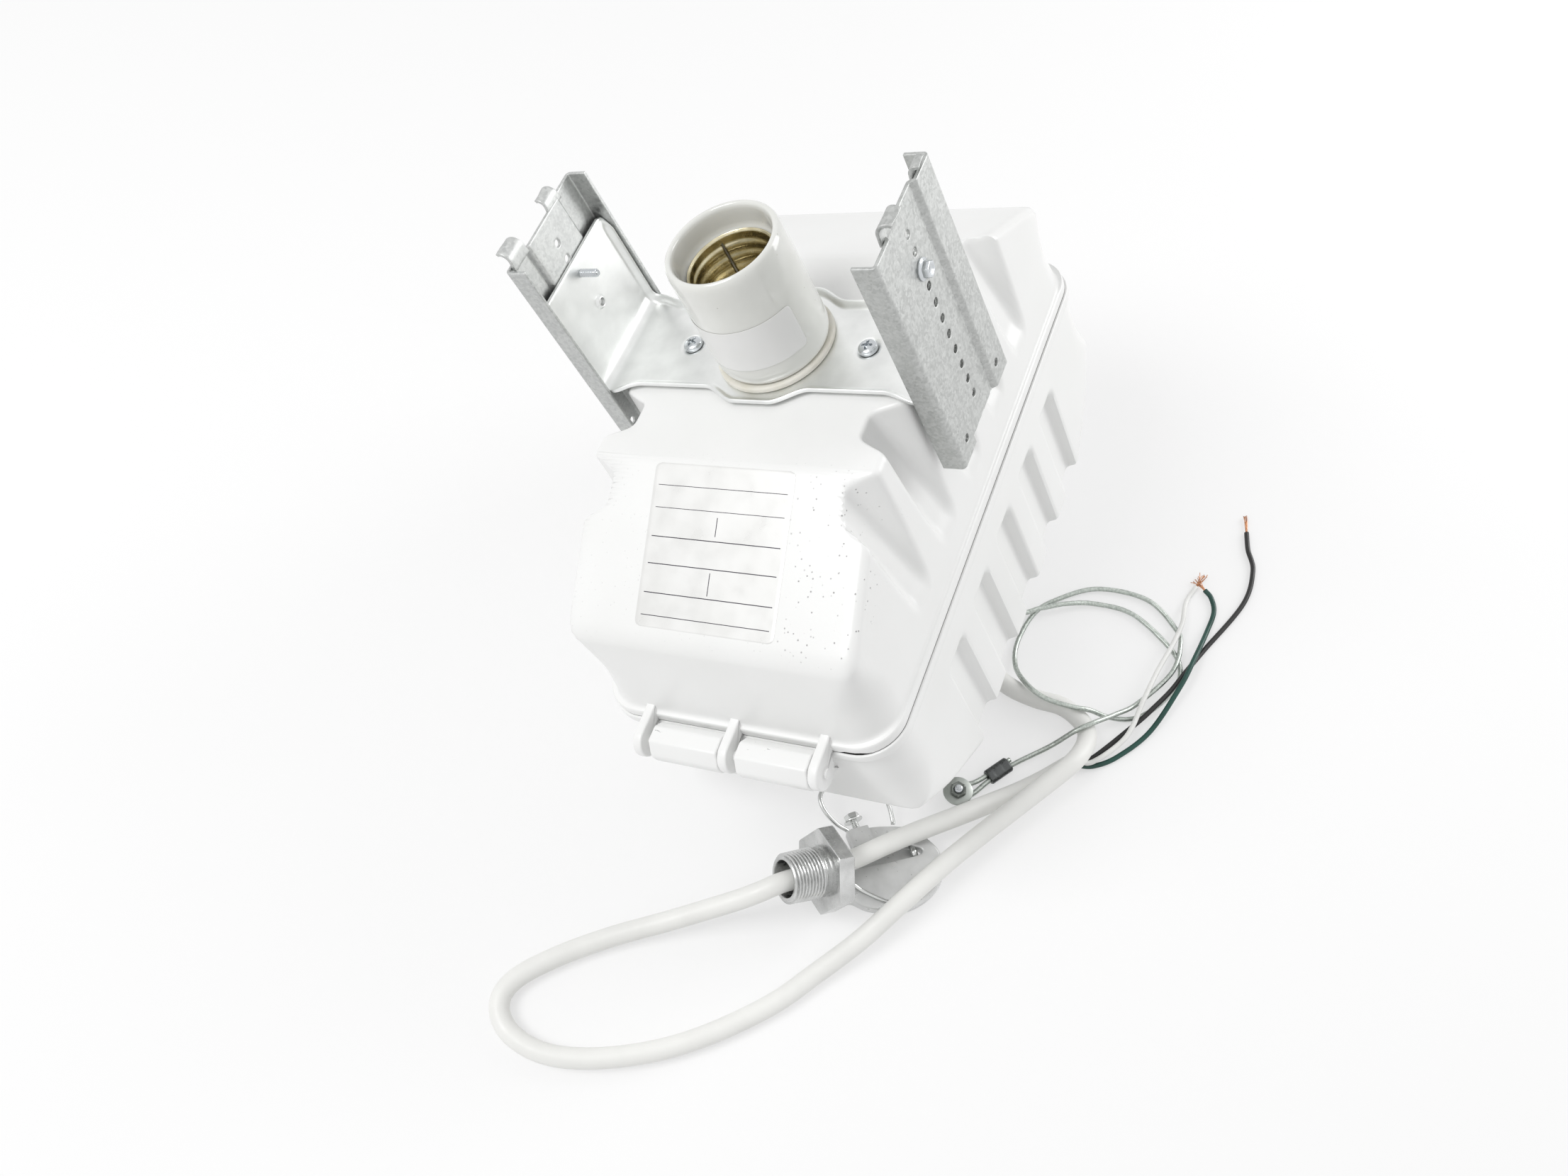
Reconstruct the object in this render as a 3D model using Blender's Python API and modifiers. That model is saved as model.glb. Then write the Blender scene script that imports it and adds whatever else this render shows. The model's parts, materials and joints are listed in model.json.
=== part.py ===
"""High-bay lamp head: a hinged two-piece ballast housing with socket, rails, hook and cord, in metres.

The pieces of the housing are drawn in its own frame: the hinge axis is X, Y runs from the hinge to
the far end and Z points out of the socket. Two empties then set it down on the floor as it lies.
"""

import math

import bmesh
import bpy
from mathutils import Matrix, Vector

# Driving sizes, in metres
GAP = 0.0003  # between pieces that touch
WALL = 0.004  # casting wall
RIM_HALF = 0.081  # parting rim, half across
RIM_LENGTH = 0.300  # parting rim, hinge end to far end
RIM_FRONT = 0.0098  # hinge axis to the rim
RIM_CORNER = 0.022
RIM_HEIGHT = 0.0055
RIM_STEP = 0.0018  # how far the rim stands out of the wall
RIM_LIP = 0.0012  # how far the upper rim stands out past the lower one
UPPER_DEPTH = 0.091
UPPER_SKIRT = 0.055  # straight part of the end walls
UPPER_SLOPE = 0.058  # length of the sloping end
UPPER_DRAFT = 0.0012
LOWER_HEIGHT = 0.0952
LOWER_SKIRT = 0.0555
LOWER_LEAN = 0.010  # how far the end walls lean in over the skirt
LOWER_SLOPE = 0.0735  # length of the label slope, along Y
LOWER_DRAFT = 0.003
POCKET_PITCH = 0.0381
POCKET_COUNT = 5
POCKET_HALF = 0.0105  # pockets of the upper half
POCKET_DEPTH = 0.0065
POCKET_TOP = 0.024  # below the parting plane
POCKET_RUN = 0.009  # height over which a pocket reaches its depth
CORE_CLEAR = 0.0065  # air between the pocket backs and the ballast's feet
NOTCH_BACK = 0.0155  # pockets of the lower half: depth at the top
NOTCH_INNER = 0.007  # half width at the back
NOTCH_FOOT = 0.030  # height of the foot of the back wall
NOTCH_SILL = 0.019  # height at which it runs out
HUB_RADIUS = 0.020
HUB_HEIGHT = 0.0253
HUB_BORE = 0.0125
HINGE_BARREL = 0.0085
HINGE_PLAY = 0.0042  # the barrels have moved to one end of their gaps
HINGE_RISE = 0.0085  # how far the lugs climb the wall
HINGE_LUG = 0.005
HINGE_SPAN = 0.048  # middle lug to outer lug
PIN_RADIUS = 0.0025
EAR_REACH = 0.014  # closing lugs at the far end
EAR_OFFSET = 0.040
CLOSING_RADIUS = 0.0025
CLOSING_LENGTH = 0.020
CLOSING_HEAD = 0.0055
EAR_LUG_HALF = 0.008
EAR_LUG_CORNER = 0.0065
EAR_LUG_LOW = 0.014  # depth of the lug on the upper half
EAR_LUG_TOP = 0.010  # height of the lug on the lower half
SOCKET_Y = 0.1635
SOCKET_RADIUS = 0.0275
SOCKET_HEIGHT = 0.0655
SOCKET_BASE = 0.0155
SOCKET_MOUTH = 0.0232
SHELL_RADIUS = 0.0205
SHELL_WALL = 0.0007
SHELL_HEIGHT = 0.038
CONTACT_RADIUS = 0.006
PLATE_THICK = 0.0019
PLATE_HALF = 0.0265
PLATE_BULGE = 0.0345
EAR_X = 0.088
EAR_HALF = 0.0304
EAR_HEIGHT = 0.0580
EAR_HOLE = 0.0078  # below the ear's top
BEND = 0.008
PLATE_SCREW = 0.0472
PLATE_NECK = 0.022  # from the ear to where the strap narrows
BULGE_HALF = 0.026
PLATE_SCREW_REACH = 0.011
PLATE_OPENING = 0.010
SOCKET_SCREW = 0.017
RAIL_THICK = 0.0016
RAIL_LENGTH = 0.123
RAIL_STEP = 0.0024
RAIL_FLANGE = 0.011
HOLE_PITCH = 0.009525
HOLE_RADIUS = 0.0019
HOLE_FIRST = 0.0133  # below the rail's top
HOLE_COUNT = 11
SCREW_HOLE = 2  # the rail hole that holds the screw
SCREW_RADIUS = 0.002
HEAD_RADIUS = 0.0046
HEAD_HEIGHT = 0.0026
LABEL_HALF = 0.037
LABEL_LENGTH = 0.076
LABEL_THICK = 0.0005
FOOT_REACH = 0.0155  # feet of the ballast
FOOT_WIDTH = 0.018
FOOT_THICK = 0.002
FOOT_RISE = 0.040
FOOT_HOLE = 0.0095  # from the core
FOOT_CLEAR = 0.0014  # feet to the casting
CORE_STACK = 0.044
CORE_HEIGHT = 0.072
CORE_LEG = 0.016
WINDOW = 0.018  # opening of the core, for the coil
COIL_CORNER = 0.010
CAN_RADIUS = 0.021
CAN_LENGTH = 0.080
CAN_START = 0.060  # left of the middle
CAN_SEAM = 0.003
IGNITOR_HALF = 0.014
IGNITOR_LENGTH = 0.048
IGNITOR_HEIGHT = 0.036
IGNITOR_FOOT = 0.014  # how far its foot stands out
IGNITOR_FOOT_HALF = 0.007
IGNITOR_FOOT_THICK = 0.004
TERMINAL_HALF = 0.015
TERMINAL_WIDTH = 0.018
TERMINAL_HEIGHT = 0.014
BOSS_RADIUS = 0.006
BOSS_HEIGHT = 0.006
CORD_RADIUS = 0.00525
WIRE_RADIUS = 0.0014
CABLE_RADIUS = 0.0014
NIPPLE_RADIUS = 0.0133
NIPPLE_LENGTH = 0.021
NIPPLE_BORE = 0.0094
NIPPLE_RISE = math.radians(24)  # how far it points up from the floor
HEX_FLATS = 0.040
HEX_LENGTH = 0.009
HEX_ROLL = math.radians(38)
HOOK_THICK = 0.0085

# Sizes that follow from them
MIDDLE = RIM_FRONT + RIM_LENGTH / 2
FAR = RIM_FRONT + RIM_LENGTH
UPPER_HALF = RIM_HALF - RIM_STEP
FOOT_HALF = UPPER_HALF - UPPER_DRAFT
CORE_HALF = UPPER_HALF - POCKET_DEPTH - CORE_CLEAR - WALL - FOOT_CLEAR - FOOT_REACH - GAP
LOWER_HALF = RIM_HALF - 1.5 * RIM_STEP
LEAN = math.atan2(HUB_HEIGHT, FOOT_HALF - HUB_RADIUS)
LIFT = UPPER_DEPTH * math.cos(LEAN) + FOOT_HALF * math.sin(LEAN)
POCKETS = [MIDDLE + (i - (POCKET_COUNT - 1) / 2) * POCKET_PITCH for i in range(POCKET_COUNT)]
INSIDE = -UPPER_DEPTH + WALL
SEAT = INSIDE + BOSS_HEIGHT
PLATE_LOW = LOWER_HEIGHT + GAP
PLATE_TOP = PLATE_LOW + PLATE_THICK
EAR_TOP = PLATE_LOW + EAR_HEIGHT
EAR_SCREW_Z = EAR_TOP - EAR_HOLE
RAIL_IN = EAR_X + GAP
RAIL_MID = RAIL_IN + RAIL_THICK
RAIL_OUT = RAIL_MID + RAIL_STEP
RAIL_HALF = EAR_HALF + GAP + RAIL_THICK
RAIL_TOP = EAR_SCREW_Z + SCREW_HOLE * HOLE_PITCH + HOLE_FIRST
SOCKET_LOW = PLATE_TOP + GAP
SOCKET_TOP = SOCKET_LOW + SOCKET_HEIGHT
SOCKET_FLOOR = SOCKET_LOW + SOCKET_BASE
HEX_CORNER = HEX_FLATS / math.sqrt(3)
HEX_TURNS = [HEX_ROLL + math.radians(60 * i) for i in range(6)]
HEX_FOOT = -HEX_CORNER * min(math.sin(turn) for turn in HEX_TURNS)
NIPPLE_Z = GAP + (NIPPLE_LENGTH + HEX_LENGTH) * math.sin(NIPPLE_RISE) + HEX_FOOT * math.cos(NIPPLE_RISE)

for old in list(bpy.data.objects):
    bpy.data.objects.remove(old)
lamp = bpy.data.collections.new("high_bay_lamp_head")
cutters = bpy.data.collections.new("cutters")
bpy.context.scene.collection.children.link(lamp)
bpy.context.scene.collection.children.link(cutters)


def empty(name, parent=None, location=(0, 0, 0), turn=(0, 0, 0)):
    made = bpy.data.objects.new(name, None)
    made.location, made.rotation_euler, made.parent = location, turn, parent
    lamp.objects.link(made)
    return made


stand = empty("stand")
housing = empty("housing_frame", stand, (0, 0, LIFT), (0, -LEAN, 0))


def finish(name, colour, metallic, rough):
    made = bpy.data.materials.new(name)
    made.use_nodes = True
    shader = made.node_tree.nodes["Principled BSDF"]
    shader.inputs["Base Color"].default_value = (*colour, 1)
    shader.inputs["Metallic"].default_value = metallic
    shader.inputs["Roughness"].default_value = rough
    made.diffuse_color = (*colour, 1)
    return made


WHITE = finish("white_powder_coat", (0.86, 0.87, 0.87), 0, 0.32)
RUBBER = finish("black_rubber", (0.03, 0.03, 0.03), 0, 0.75)
STEEL = finish("zinc_plated_steel", (0.62, 0.63, 0.64), 1, 0.32)
GALVANISED = finish("galvanised_steel", (0.66, 0.68, 0.69), 1, 0.45)
PORCELAIN = finish("glazed_porcelain", (0.86, 0.86, 0.82), 0, 0.15)
BRASS = finish("nickel_brass", (0.66, 0.60, 0.42), 1, 0.3)
PAPER = finish("silver_label", (0.80, 0.80, 0.80), 0, 0.4)
IRON = finish("varnished_iron", (0.12, 0.11, 0.10), 0.6, 0.5)
COPPER = finish("wound_copper", (0.45, 0.20, 0.08), 0.7, 0.45)
PLASTIC = finish("grey_plastic", (0.18, 0.18, 0.19), 0, 0.5)
ALUMINIUM = finish("bare_aluminium", (0.70, 0.71, 0.72), 1, 0.35)
JACKET = finish("white_pvc", (0.84, 0.84, 0.80), 0, 0.45)
BLACK = finish("black_pvc", (0.02, 0.02, 0.02), 0, 0.45)
GREEN = finish("green_pvc", (0.02, 0.10, 0.06), 0, 0.45)
CABLE = finish("coated_steel_cable", (0.42, 0.44, 0.43), 0.5, 0.45)


def thing(name, mesh, material=None, parent=housing):
    """A named piece when it has a material, otherwise a hidden cutter."""
    made = bpy.data.objects.new(name, mesh)
    made.parent = parent
    if material:
        mesh.materials.append(material)
        lamp.objects.link(made)
    else:
        made.hide_render = True
        made.display_type = "WIRE"
        cutters.objects.link(made)
    return made


def solid(name, builders, material=None, parent=housing):
    shape = bmesh.new()
    for build in builders:
        build(shape)
    bmesh.ops.recalc_face_normals(shape, faces=shape.faces[:])
    mesh = bpy.data.meshes.new(name)
    shape.to_mesh(mesh)
    shape.free()
    return thing(name, mesh, material, parent)


def loft(*rings):
    """A closed skin through rings that hold the same number of points."""

    def build(shape):
        rows = [[shape.verts.new(point) for point in ring] for ring in rings]
        for low, high in zip(rows, rows[1:]):
            for i in range(len(low)):
                shape.faces.new((low[i - 1], low[i], high[i], high[i - 1]))
        shape.faces.new(rows[0][::-1])
        shape.faces.new(rows[-1])

    return build


def along_z(outline, low, high):
    return loft([(x, y, low) for x, y in outline], [(x, y, high) for x, y in outline])


def along_x(outline, low, high):
    return loft([(low, y, z) for y, z in outline], [(high, y, z) for y, z in outline])


def along_y(outline, low, high):
    return loft([(x, low, z) for x, z in outline], [(x, high, z) for x, z in outline])


def block(low, high):
    (x0, y0, z0), (x1, y1, z1) = low, high
    return along_z([(x0, y0), (x1, y0), (x1, y1), (x0, y1)], z0, z1)


def rounded(corners, radii, steps=6):
    """The polygon with each corner turned into an arc."""
    if not isinstance(radii, (list, tuple)):
        radii = [radii] * len(corners)
    points = []
    for i, corner in enumerate(corners):
        here, radius = Vector(corner), radii[i]
        if radius <= 0:
            points.append(tuple(here))
            continue
        before = (Vector(corners[i - 1]) - here).normalized()
        after = (Vector(corners[(i + 1) % len(corners)]) - here).normalized()
        half = before.angle(after) / 2
        centre = here + (before + after).normalized() * (radius / math.sin(half))
        start = here + before * (radius / math.tan(half)) - centre
        end = here + after * (radius / math.tan(half)) - centre
        turn = math.atan2(start.x * end.y - start.y * end.x, start.dot(end))
        for k in range(steps + 1):
            angle = turn * k / steps
            c, s = math.cos(angle), math.sin(angle)
            points.append((centre.x + c * start.x - s * start.y, centre.y + s * start.x + c * start.y))
    return points


def frame_outline(half, front, back, radius, steps=6):
    return rounded([(-half, front), (half, front), (half, back), (-half, back)], radius, steps)


def disc(radius, steps=24, centre=(0, 0), start=0.0):
    return [
        (
            centre[0] + radius * math.cos(start + 2 * math.pi * i / steps),
            centre[1] + radius * math.sin(start + 2 * math.pi * i / steps),
        )
        for i in range(steps)
    ]


def rod(a, b, radius, steps=16):
    """A straight cylinder from point a to point b."""
    a, b = Vector(a), Vector(b)
    turn = Vector((0, 0, 1)).rotation_difference(b - a).to_matrix()
    ring = [turn @ Vector((x, y, 0)) for x, y in disc(radius, steps)]
    return loft([a + p for p in ring], [b + p for p in ring])


def turned(name, profile, origin, axis, material=None, parent=housing, steps=32):
    """A body of revolution. The profile lists (radius, height along the axis) pairs."""
    area = sum(
        profile[i - 1][0] * profile[i][1] - profile[i][0] * profile[i - 1][1]
        for i in range(len(profile))
    )
    points = profile[::-1] if area > 0 else profile
    on_axis = [i for i, (r, _) in enumerate(points) if r == 0]
    if on_axis:
        first = next(i for i in on_axis if points[i - 1][0] == 0)
        points = points[first:] + points[:first]
    mesh = bpy.data.meshes.new(name)
    count = len(points)
    edges = [(i, i + 1) for i in range(count - 1)] + ([] if on_axis else [(count - 1, 0)])
    mesh.from_pydata([(r, 0, z) for r, z in points], edges, [])
    made = thing(name, mesh, material, parent)
    made.location = origin
    made.rotation_mode = "QUATERNION"
    made.rotation_quaternion = Vector((0, 0, 1)).rotation_difference(Vector(axis))
    spin = made.modifiers.new("spin", "SCREW")
    spin.steps = spin.render_steps = steps
    spin.use_merge_vertices = True
    spin.merge_threshold = 0.00001
    spin.use_smooth_shade = False
    return made


def boolean(target, other, operation):
    step = target.modifiers.new(other.name, "BOOLEAN")
    step.operation, step.object, step.solver = operation, other, "EXACT"


def cut(target, other):
    boolean(target, other, "DIFFERENCE")


def join(target, other):
    boolean(target, other, "UNION")


def keep(target, other):
    boolean(target, other, "INTERSECT")


def smooth(points, per):
    """A curve that passes through every point."""
    points = [Vector(p) for p in points]
    ends = [2 * points[0] - points[1]] + points + [2 * points[-1] - points[-2]]
    path = []
    for a, b, c, d in zip(ends, ends[1:], ends[2:], ends[3:]):
        for k in range(per):
            t = k / per
            path.append(
                0.5
                * (
                    2 * b
                    + (c - a) * t
                    + (2 * a - 5 * b + 4 * c - d) * t**2
                    + (3 * b - a - 3 * c + d) * t**3
                )
            )
    return path + [points[-1]]


def tube(name, points, radius, material, parent=None, per=2, sides=2):
    curve = bpy.data.curves.new(name, "CURVE")
    curve.dimensions = "3D"
    curve.bevel_depth = radius
    curve.bevel_resolution = sides
    curve.use_fill_caps = True
    spline = curve.splines.new("POLY")
    path = smooth(points, per)
    spline.points.add(len(path) - 1)
    for point, co in zip(spline.points, path):
        point.co = (*co, 1)
    return thing(name, curve, material, parent or stand)


def millimetres(*points):
    return [tuple(0.001 * v for v in point) for point in points]


def screw(name, at, axis, reach, radius=SCREW_RADIUS, head=HEAD_RADIUS, parent=housing):
    """A round-headed screw: the head stands on the face at the point given and the shank runs back."""
    profile = [
        (0, HEAD_HEIGHT + GAP),
        (0.55 * head, HEAD_HEIGHT + GAP),
        (head, 0.5 * HEAD_HEIGHT + GAP),
        (head, GAP),
        (radius, GAP),
        (radius, -reach),
        (0, -reach),
    ]
    return turned(name, profile, at, axis, STEEL, parent, 14)


# Housing halves: outside, pockets and hollow
def upper_plan(inset, z):
    share = -z / UPPER_DEPTH
    half = UPPER_HALF - UPPER_DRAFT * share - inset
    front = RIM_FRONT + RIM_STEP + inset
    outline = frame_outline(half, front, 2 * MIDDLE - front, RIM_CORNER - inset)
    return [(x, y, z) for x, y in outline]


def end_profile(front, skirt, slope, height, inset, over):
    """Side view of an end-sloped half, from the rim (height 0) to the flat, as (y, height)."""
    angle = math.atan2(height - skirt, slope)
    skirt_in = skirt - inset * math.tan(angle / 2)
    slope_in = front + slope + inset * math.tan(math.pi / 4 - (math.pi / 2 - angle) / 2)
    left = [(front - over, -over), (front - over, 0), (front + inset, skirt_in), (slope_in, height - inset)]
    return left + [(2 * MIDDLE - y, z) for y, z in reversed(left)]


def upper_pockets(grow):
    quads = []
    for side in (-1, 1):
        for y in POCKETS:
            rings = []
            run_end = -POCKET_TOP - POCKET_RUN + 0.4 * grow
            levels = ((-POCKET_TOP + grow, -0.0005), (run_end, POCKET_DEPTH), (-UPPER_DEPTH - 0.002, POCKET_DEPTH))
            for z, depth in levels:
                back, face = UPPER_HALF - depth - grow, RIM_HALF + 0.01
                half = POCKET_HALF + grow
                ring = [(back, y - 0.9 * half, z), (face, y - 1.1 * half, z)]
                ring += [(face, y + 1.1 * half, z), (back, y + 0.9 * half, z)]
                rings.append([(side * px, py, pz) for px, py, pz in ring])
            quads.append(loft(*rings))
    return quads


def lower_plan(inset, z):
    half = LOWER_HALF - LOWER_DRAFT * z / LOWER_HEIGHT - inset
    front = RIM_FRONT + 1.5 * RIM_STEP + inset
    outline = frame_outline(half, front, 2 * MIDDLE - front, RIM_CORNER - inset)
    return [(x, y, z) for x, y in outline]


def lower_pockets(grow):
    quads = []
    top = LOWER_HEIGHT + 0.002
    foot_back = LOWER_HALF - 0.3 * NOTCH_BACK
    levels = (
        (NOTCH_SILL - grow, LOWER_HALF + 0.0008 - grow, NOTCH_INNER + 0.0045),
        (NOTCH_FOOT - 0.5 * grow, foot_back - grow, NOTCH_INNER),
        (top, LOWER_HALF - LOWER_DRAFT - NOTCH_BACK - grow, NOTCH_INNER),
    )
    for side in (-1, 1):
        for y in POCKETS:
            rings = []
            for z, back, half in levels:
                face = RIM_HALF + 0.01
                wide = min(half + 0.5 * (face - back) + 0.004, 0.56 * POCKET_PITCH) + 0.6 * grow
                ring = [(back, y - half - 0.6 * grow, z), (face, y - wide, z)]
                ring += [(face, y + wide, z), (back, y + half + 0.6 * grow, z)]
                rings.append([(side * px, py, pz) for px, py, pz in ring])
            quads.append(loft(*rings))
    return quads


def rim(low, high, inset=0.0):
    outline = frame_outline(RIM_HALF - inset, RIM_FRONT + inset, FAR - inset, RIM_CORNER - inset)
    return along_z(outline, low, high)


def far_ear(low, high):
    """The two lugs that the closing screws pass through."""
    lugs = []
    for side in (-1, 1):
        x, y = side * EAR_OFFSET, FAR + EAR_REACH / 2
        left, right, root, tip = x - EAR_LUG_HALF, x + EAR_LUG_HALF, FAR - 0.75 * WALL, y + EAR_REACH / 2
        corners = [(left, root), (right, root), (right, tip), (left, tip)]
        lugs.append(along_z(rounded(corners, [0, 0, EAR_LUG_CORNER, EAR_LUG_CORNER], 4), low, high))
    return lugs


EAR_Y = FAR + EAR_REACH / 2

upper_front = RIM_FRONT + RIM_STEP
upper = solid("upper_housing", [loft(upper_plan(0, -UPPER_DEPTH), upper_plan(0, -GAP / 2))], WHITE)
profile = end_profile(upper_front, UPPER_SKIRT, UPPER_SLOPE, UPPER_DEPTH, 0, 0.004)
keep(upper, solid("upper_outside", [along_x([(y, -z) for y, z in profile], -0.2, 0.2)]))
join(upper, solid("upper_rim", [rim(-RIM_HEIGHT, -GAP / 2)]))
cut(upper, solid("upper_pockets", upper_pockets(0)))
hollow = solid("upper_hollow", [loft(upper_plan(WALL, -UPPER_DEPTH), upper_plan(WALL, 0.002))])
profile = end_profile(upper_front, UPPER_SKIRT, UPPER_SLOPE, UPPER_DEPTH, WALL, 0.004)
keep(hollow, solid("upper_inside", [along_x([(y, -z) for y, z in profile], -0.2, 0.2)]))
cut(hollow, solid("upper_pockets_inside", upper_pockets(WALL)))
cut(upper, hollow)

# Inside layout: ballast towards the hinge, capacitor and ignitor beyond the hub
HUB_Y = MIDDLE
CORE_Y = (POCKETS[0] + POCKETS[1]) / 2
CAN_Y = HUB_Y + HUB_BORE + CAN_RADIUS + 0.022
CAN_Z = SEAT + CAN_RADIUS - 0.003
BRACKET_BOSS = CORE_HALF + FOOT_HOLE
STRAP_X = -0.026
STRAP_FOOT = CAN_RADIUS + 0.010
IGNITOR = (0.041, CAN_Y - 0.002)
TERMINAL = (-0.041, HUB_Y - 0.006)
bosses = [
    (-BRACKET_BOSS, CORE_Y),
    (BRACKET_BOSS, CORE_Y),
    (STRAP_X, CAN_Y - STRAP_FOOT),
    (STRAP_X, CAN_Y + STRAP_FOOT),
    (IGNITOR[0], IGNITOR[1] + IGNITOR_LENGTH / 2 + IGNITOR_FOOT / 2),
    TERMINAL,
]
web = [(RIM_FRONT + RIM_STEP + 0.002, -0.021), (RIM_FRONT + RIM_STEP + 0.002, -0.001)]
knuckle = [
    (HINGE_BARREL * math.cos(math.radians(d)), HINGE_BARREL * math.sin(math.radians(d)))
    for d in range(0, 241, 15)
]
inner_end, outer_end = HINGE_LUG / 2 + GAP, HINGE_SPAN - HINGE_LUG / 2 - GAP
additions = [along_x(knuckle + web, inner_end + HINGE_PLAY, outer_end)]
additions += [along_x(knuckle + web, -outer_end + HINGE_PLAY, -inner_end)]
additions += [rod((0, HUB_Y, INSIDE - WALL / 2), (0, HUB_Y, -UPPER_DEPTH - HUB_HEIGHT), HUB_RADIUS, 40)]
additions += [rod((x, y, INSIDE - WALL / 2), (x, y, SEAT), BOSS_RADIUS) for x, y in bosses]
additions += far_ear(-EAR_LUG_LOW, -GAP / 2)
join(upper, solid("upper_additions", additions))
bores = [rod((-0.1, 0, 0), (0.1, 0, 0), PIN_RADIUS + GAP)]
bores += [rod((0, HUB_Y, SEAT + 0.004), (0, HUB_Y, -UPPER_DEPTH - HUB_HEIGHT - 0.004), HUB_BORE, 32)]
bores += [rod((x, y, SEAT - BOSS_HEIGHT), (x, y, SEAT + 0.003), SCREW_RADIUS + GAP, 12) for x, y in bosses]
bores += [rod((s * EAR_OFFSET, EAR_Y, -0.03), (s * EAR_OFFSET, EAR_Y, 0.01), CLOSING_RADIUS + 0.0008)
    for s in (-1, 1)]
cut(upper, solid("upper_bores", bores))

lower_front = RIM_FRONT + 1.5 * RIM_STEP
lower = solid("lower_housing", [loft(lower_plan(0, GAP / 2), lower_plan(0, LOWER_HEIGHT))], WHITE)


def lower_profile(inset):
    foot, knee = lower_front + inset, lower_front + LOWER_LEAN
    angle = math.atan2(LOWER_HEIGHT - LOWER_SKIRT, LOWER_SLOPE)
    left = [
        (foot - 0.002 * LOWER_LEAN / LOWER_SKIRT, -0.002),
        (knee + inset, LOWER_SKIRT - inset * 0.55),
        (knee + LOWER_SLOPE + inset * math.tan(angle / 2), LOWER_HEIGHT - inset),
    ]
    return left + [(2 * MIDDLE - y, z) for y, z in reversed(left)]


keep(lower, solid("lower_outside", [along_x(lower_profile(0), -0.2, 0.2)]))
join(lower, solid("lower_rim", [rim(GAP / 2, RIM_HEIGHT, RIM_LIP)]))
cut(lower, solid("lower_pockets", lower_pockets(0)))
hollow = solid("lower_hollow", [loft(lower_plan(WALL, -0.002), lower_plan(WALL, LOWER_HEIGHT))])
keep(hollow, solid("lower_inside", [along_x(lower_profile(WALL), -0.2, 0.2)]))
cut(hollow, solid("lower_pockets_inside", lower_pockets(WALL)))
cut(lower, hollow)
lug_root = lower_front + 0.003
lug = [(HINGE_BARREL * math.cos(math.radians(d)), HINGE_BARREL * math.sin(math.radians(d)))
    for d in range(105, 361, 15)]
lug = lug[:-1] + [(HINGE_BARREL, 0.0), (HINGE_BARREL + 0.0005, 0.0012), (lug_root, 0.0012),
    (lug_root, HINGE_RISE)]
additions = [along_x(lug, x - HINGE_LUG / 2, x + HINGE_LUG / 2) for x in (-HINGE_SPAN, 0, HINGE_SPAN)]
additions += [
    rod((s * PLATE_SCREW, SOCKET_Y, LOWER_HEIGHT - WALL / 2),
    (s * PLATE_SCREW, SOCKET_Y, LOWER_HEIGHT - 0.014), BOSS_RADIUS)
    for s in (-1, 1)
]
additions += far_ear(GAP / 2, EAR_LUG_TOP)
join(lower, solid("lower_additions", additions))
bores = [rod((-0.1, 0, 0), (0.1, 0, 0), PIN_RADIUS + GAP)]
bores += [rod((0, SOCKET_Y, LOWER_HEIGHT - 0.01), (0, SOCKET_Y, LOWER_HEIGHT + 0.01), 0.024, 32)]
bores += [
    rod((s * PLATE_SCREW, SOCKET_Y, LOWER_HEIGHT - 0.012),
    (s * PLATE_SCREW, SOCKET_Y, LOWER_HEIGHT + 0.01), SCREW_RADIUS + GAP, 12)
    for s in (-1, 1)
]
bores += [
    rod((s * EAR_OFFSET, EAR_Y, -0.03), (s * EAR_OFFSET, EAR_Y, 0.03), CLOSING_RADIUS + GAP)
    for s in (-1, 1)
]
cut(lower, solid("lower_bores", bores))

# Gasket in a groove of the upper rim
land = RIM_STEP + WALL
groove_out, groove_in = 0.22 * land, 0.74 * land


def rim_band(outer, inner, low, high):
    ring = frame_outline(RIM_HALF - outer, RIM_FRONT + outer, FAR - outer, RIM_CORNER - outer)
    core = frame_outline(RIM_HALF - inner, RIM_FRONT + inner, FAR - inner, RIM_CORNER - inner)

    def build(shape):
        rows = [
            [shape.verts.new((x, y, z)) for x, y in outline]
            for outline, z in ((ring, low), (ring, high), (core, high), (core, low))
        ]
        for a, b in zip(rows, rows[1:] + rows[:1]):
            for i in range(len(a)):
                shape.faces.new((a[i - 1], a[i], b[i], b[i - 1]))

    return build


cut(upper, solid("gasket_groove", [rim_band(groove_out, groove_in, -0.0027, 0.001)]))
solid("gasket", [rim_band(groove_out + GAP, groove_in - GAP, -0.0027 + GAP, -GAP / 2)], RUBBER)

# Hinge pins and closing screws
for name, side in (("hinge_pin_left", -1), ("hinge_pin_right", 1)):
    ends = ((side * 0.0004, 0, 0), (side * (HINGE_SPAN + HINGE_LUG / 2 + 0.0015), 0, 0))
    solid(name, [rod(*ends, PIN_RADIUS)], STEEL)
for name, side in (("closing_screw_left", -1), ("closing_screw_right", 1)):
    screw(name, (side * EAR_OFFSET, EAR_Y, EAR_LUG_TOP), (0, 0, 1), CLOSING_LENGTH, CLOSING_RADIUS,
        CLOSING_HEAD)

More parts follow.
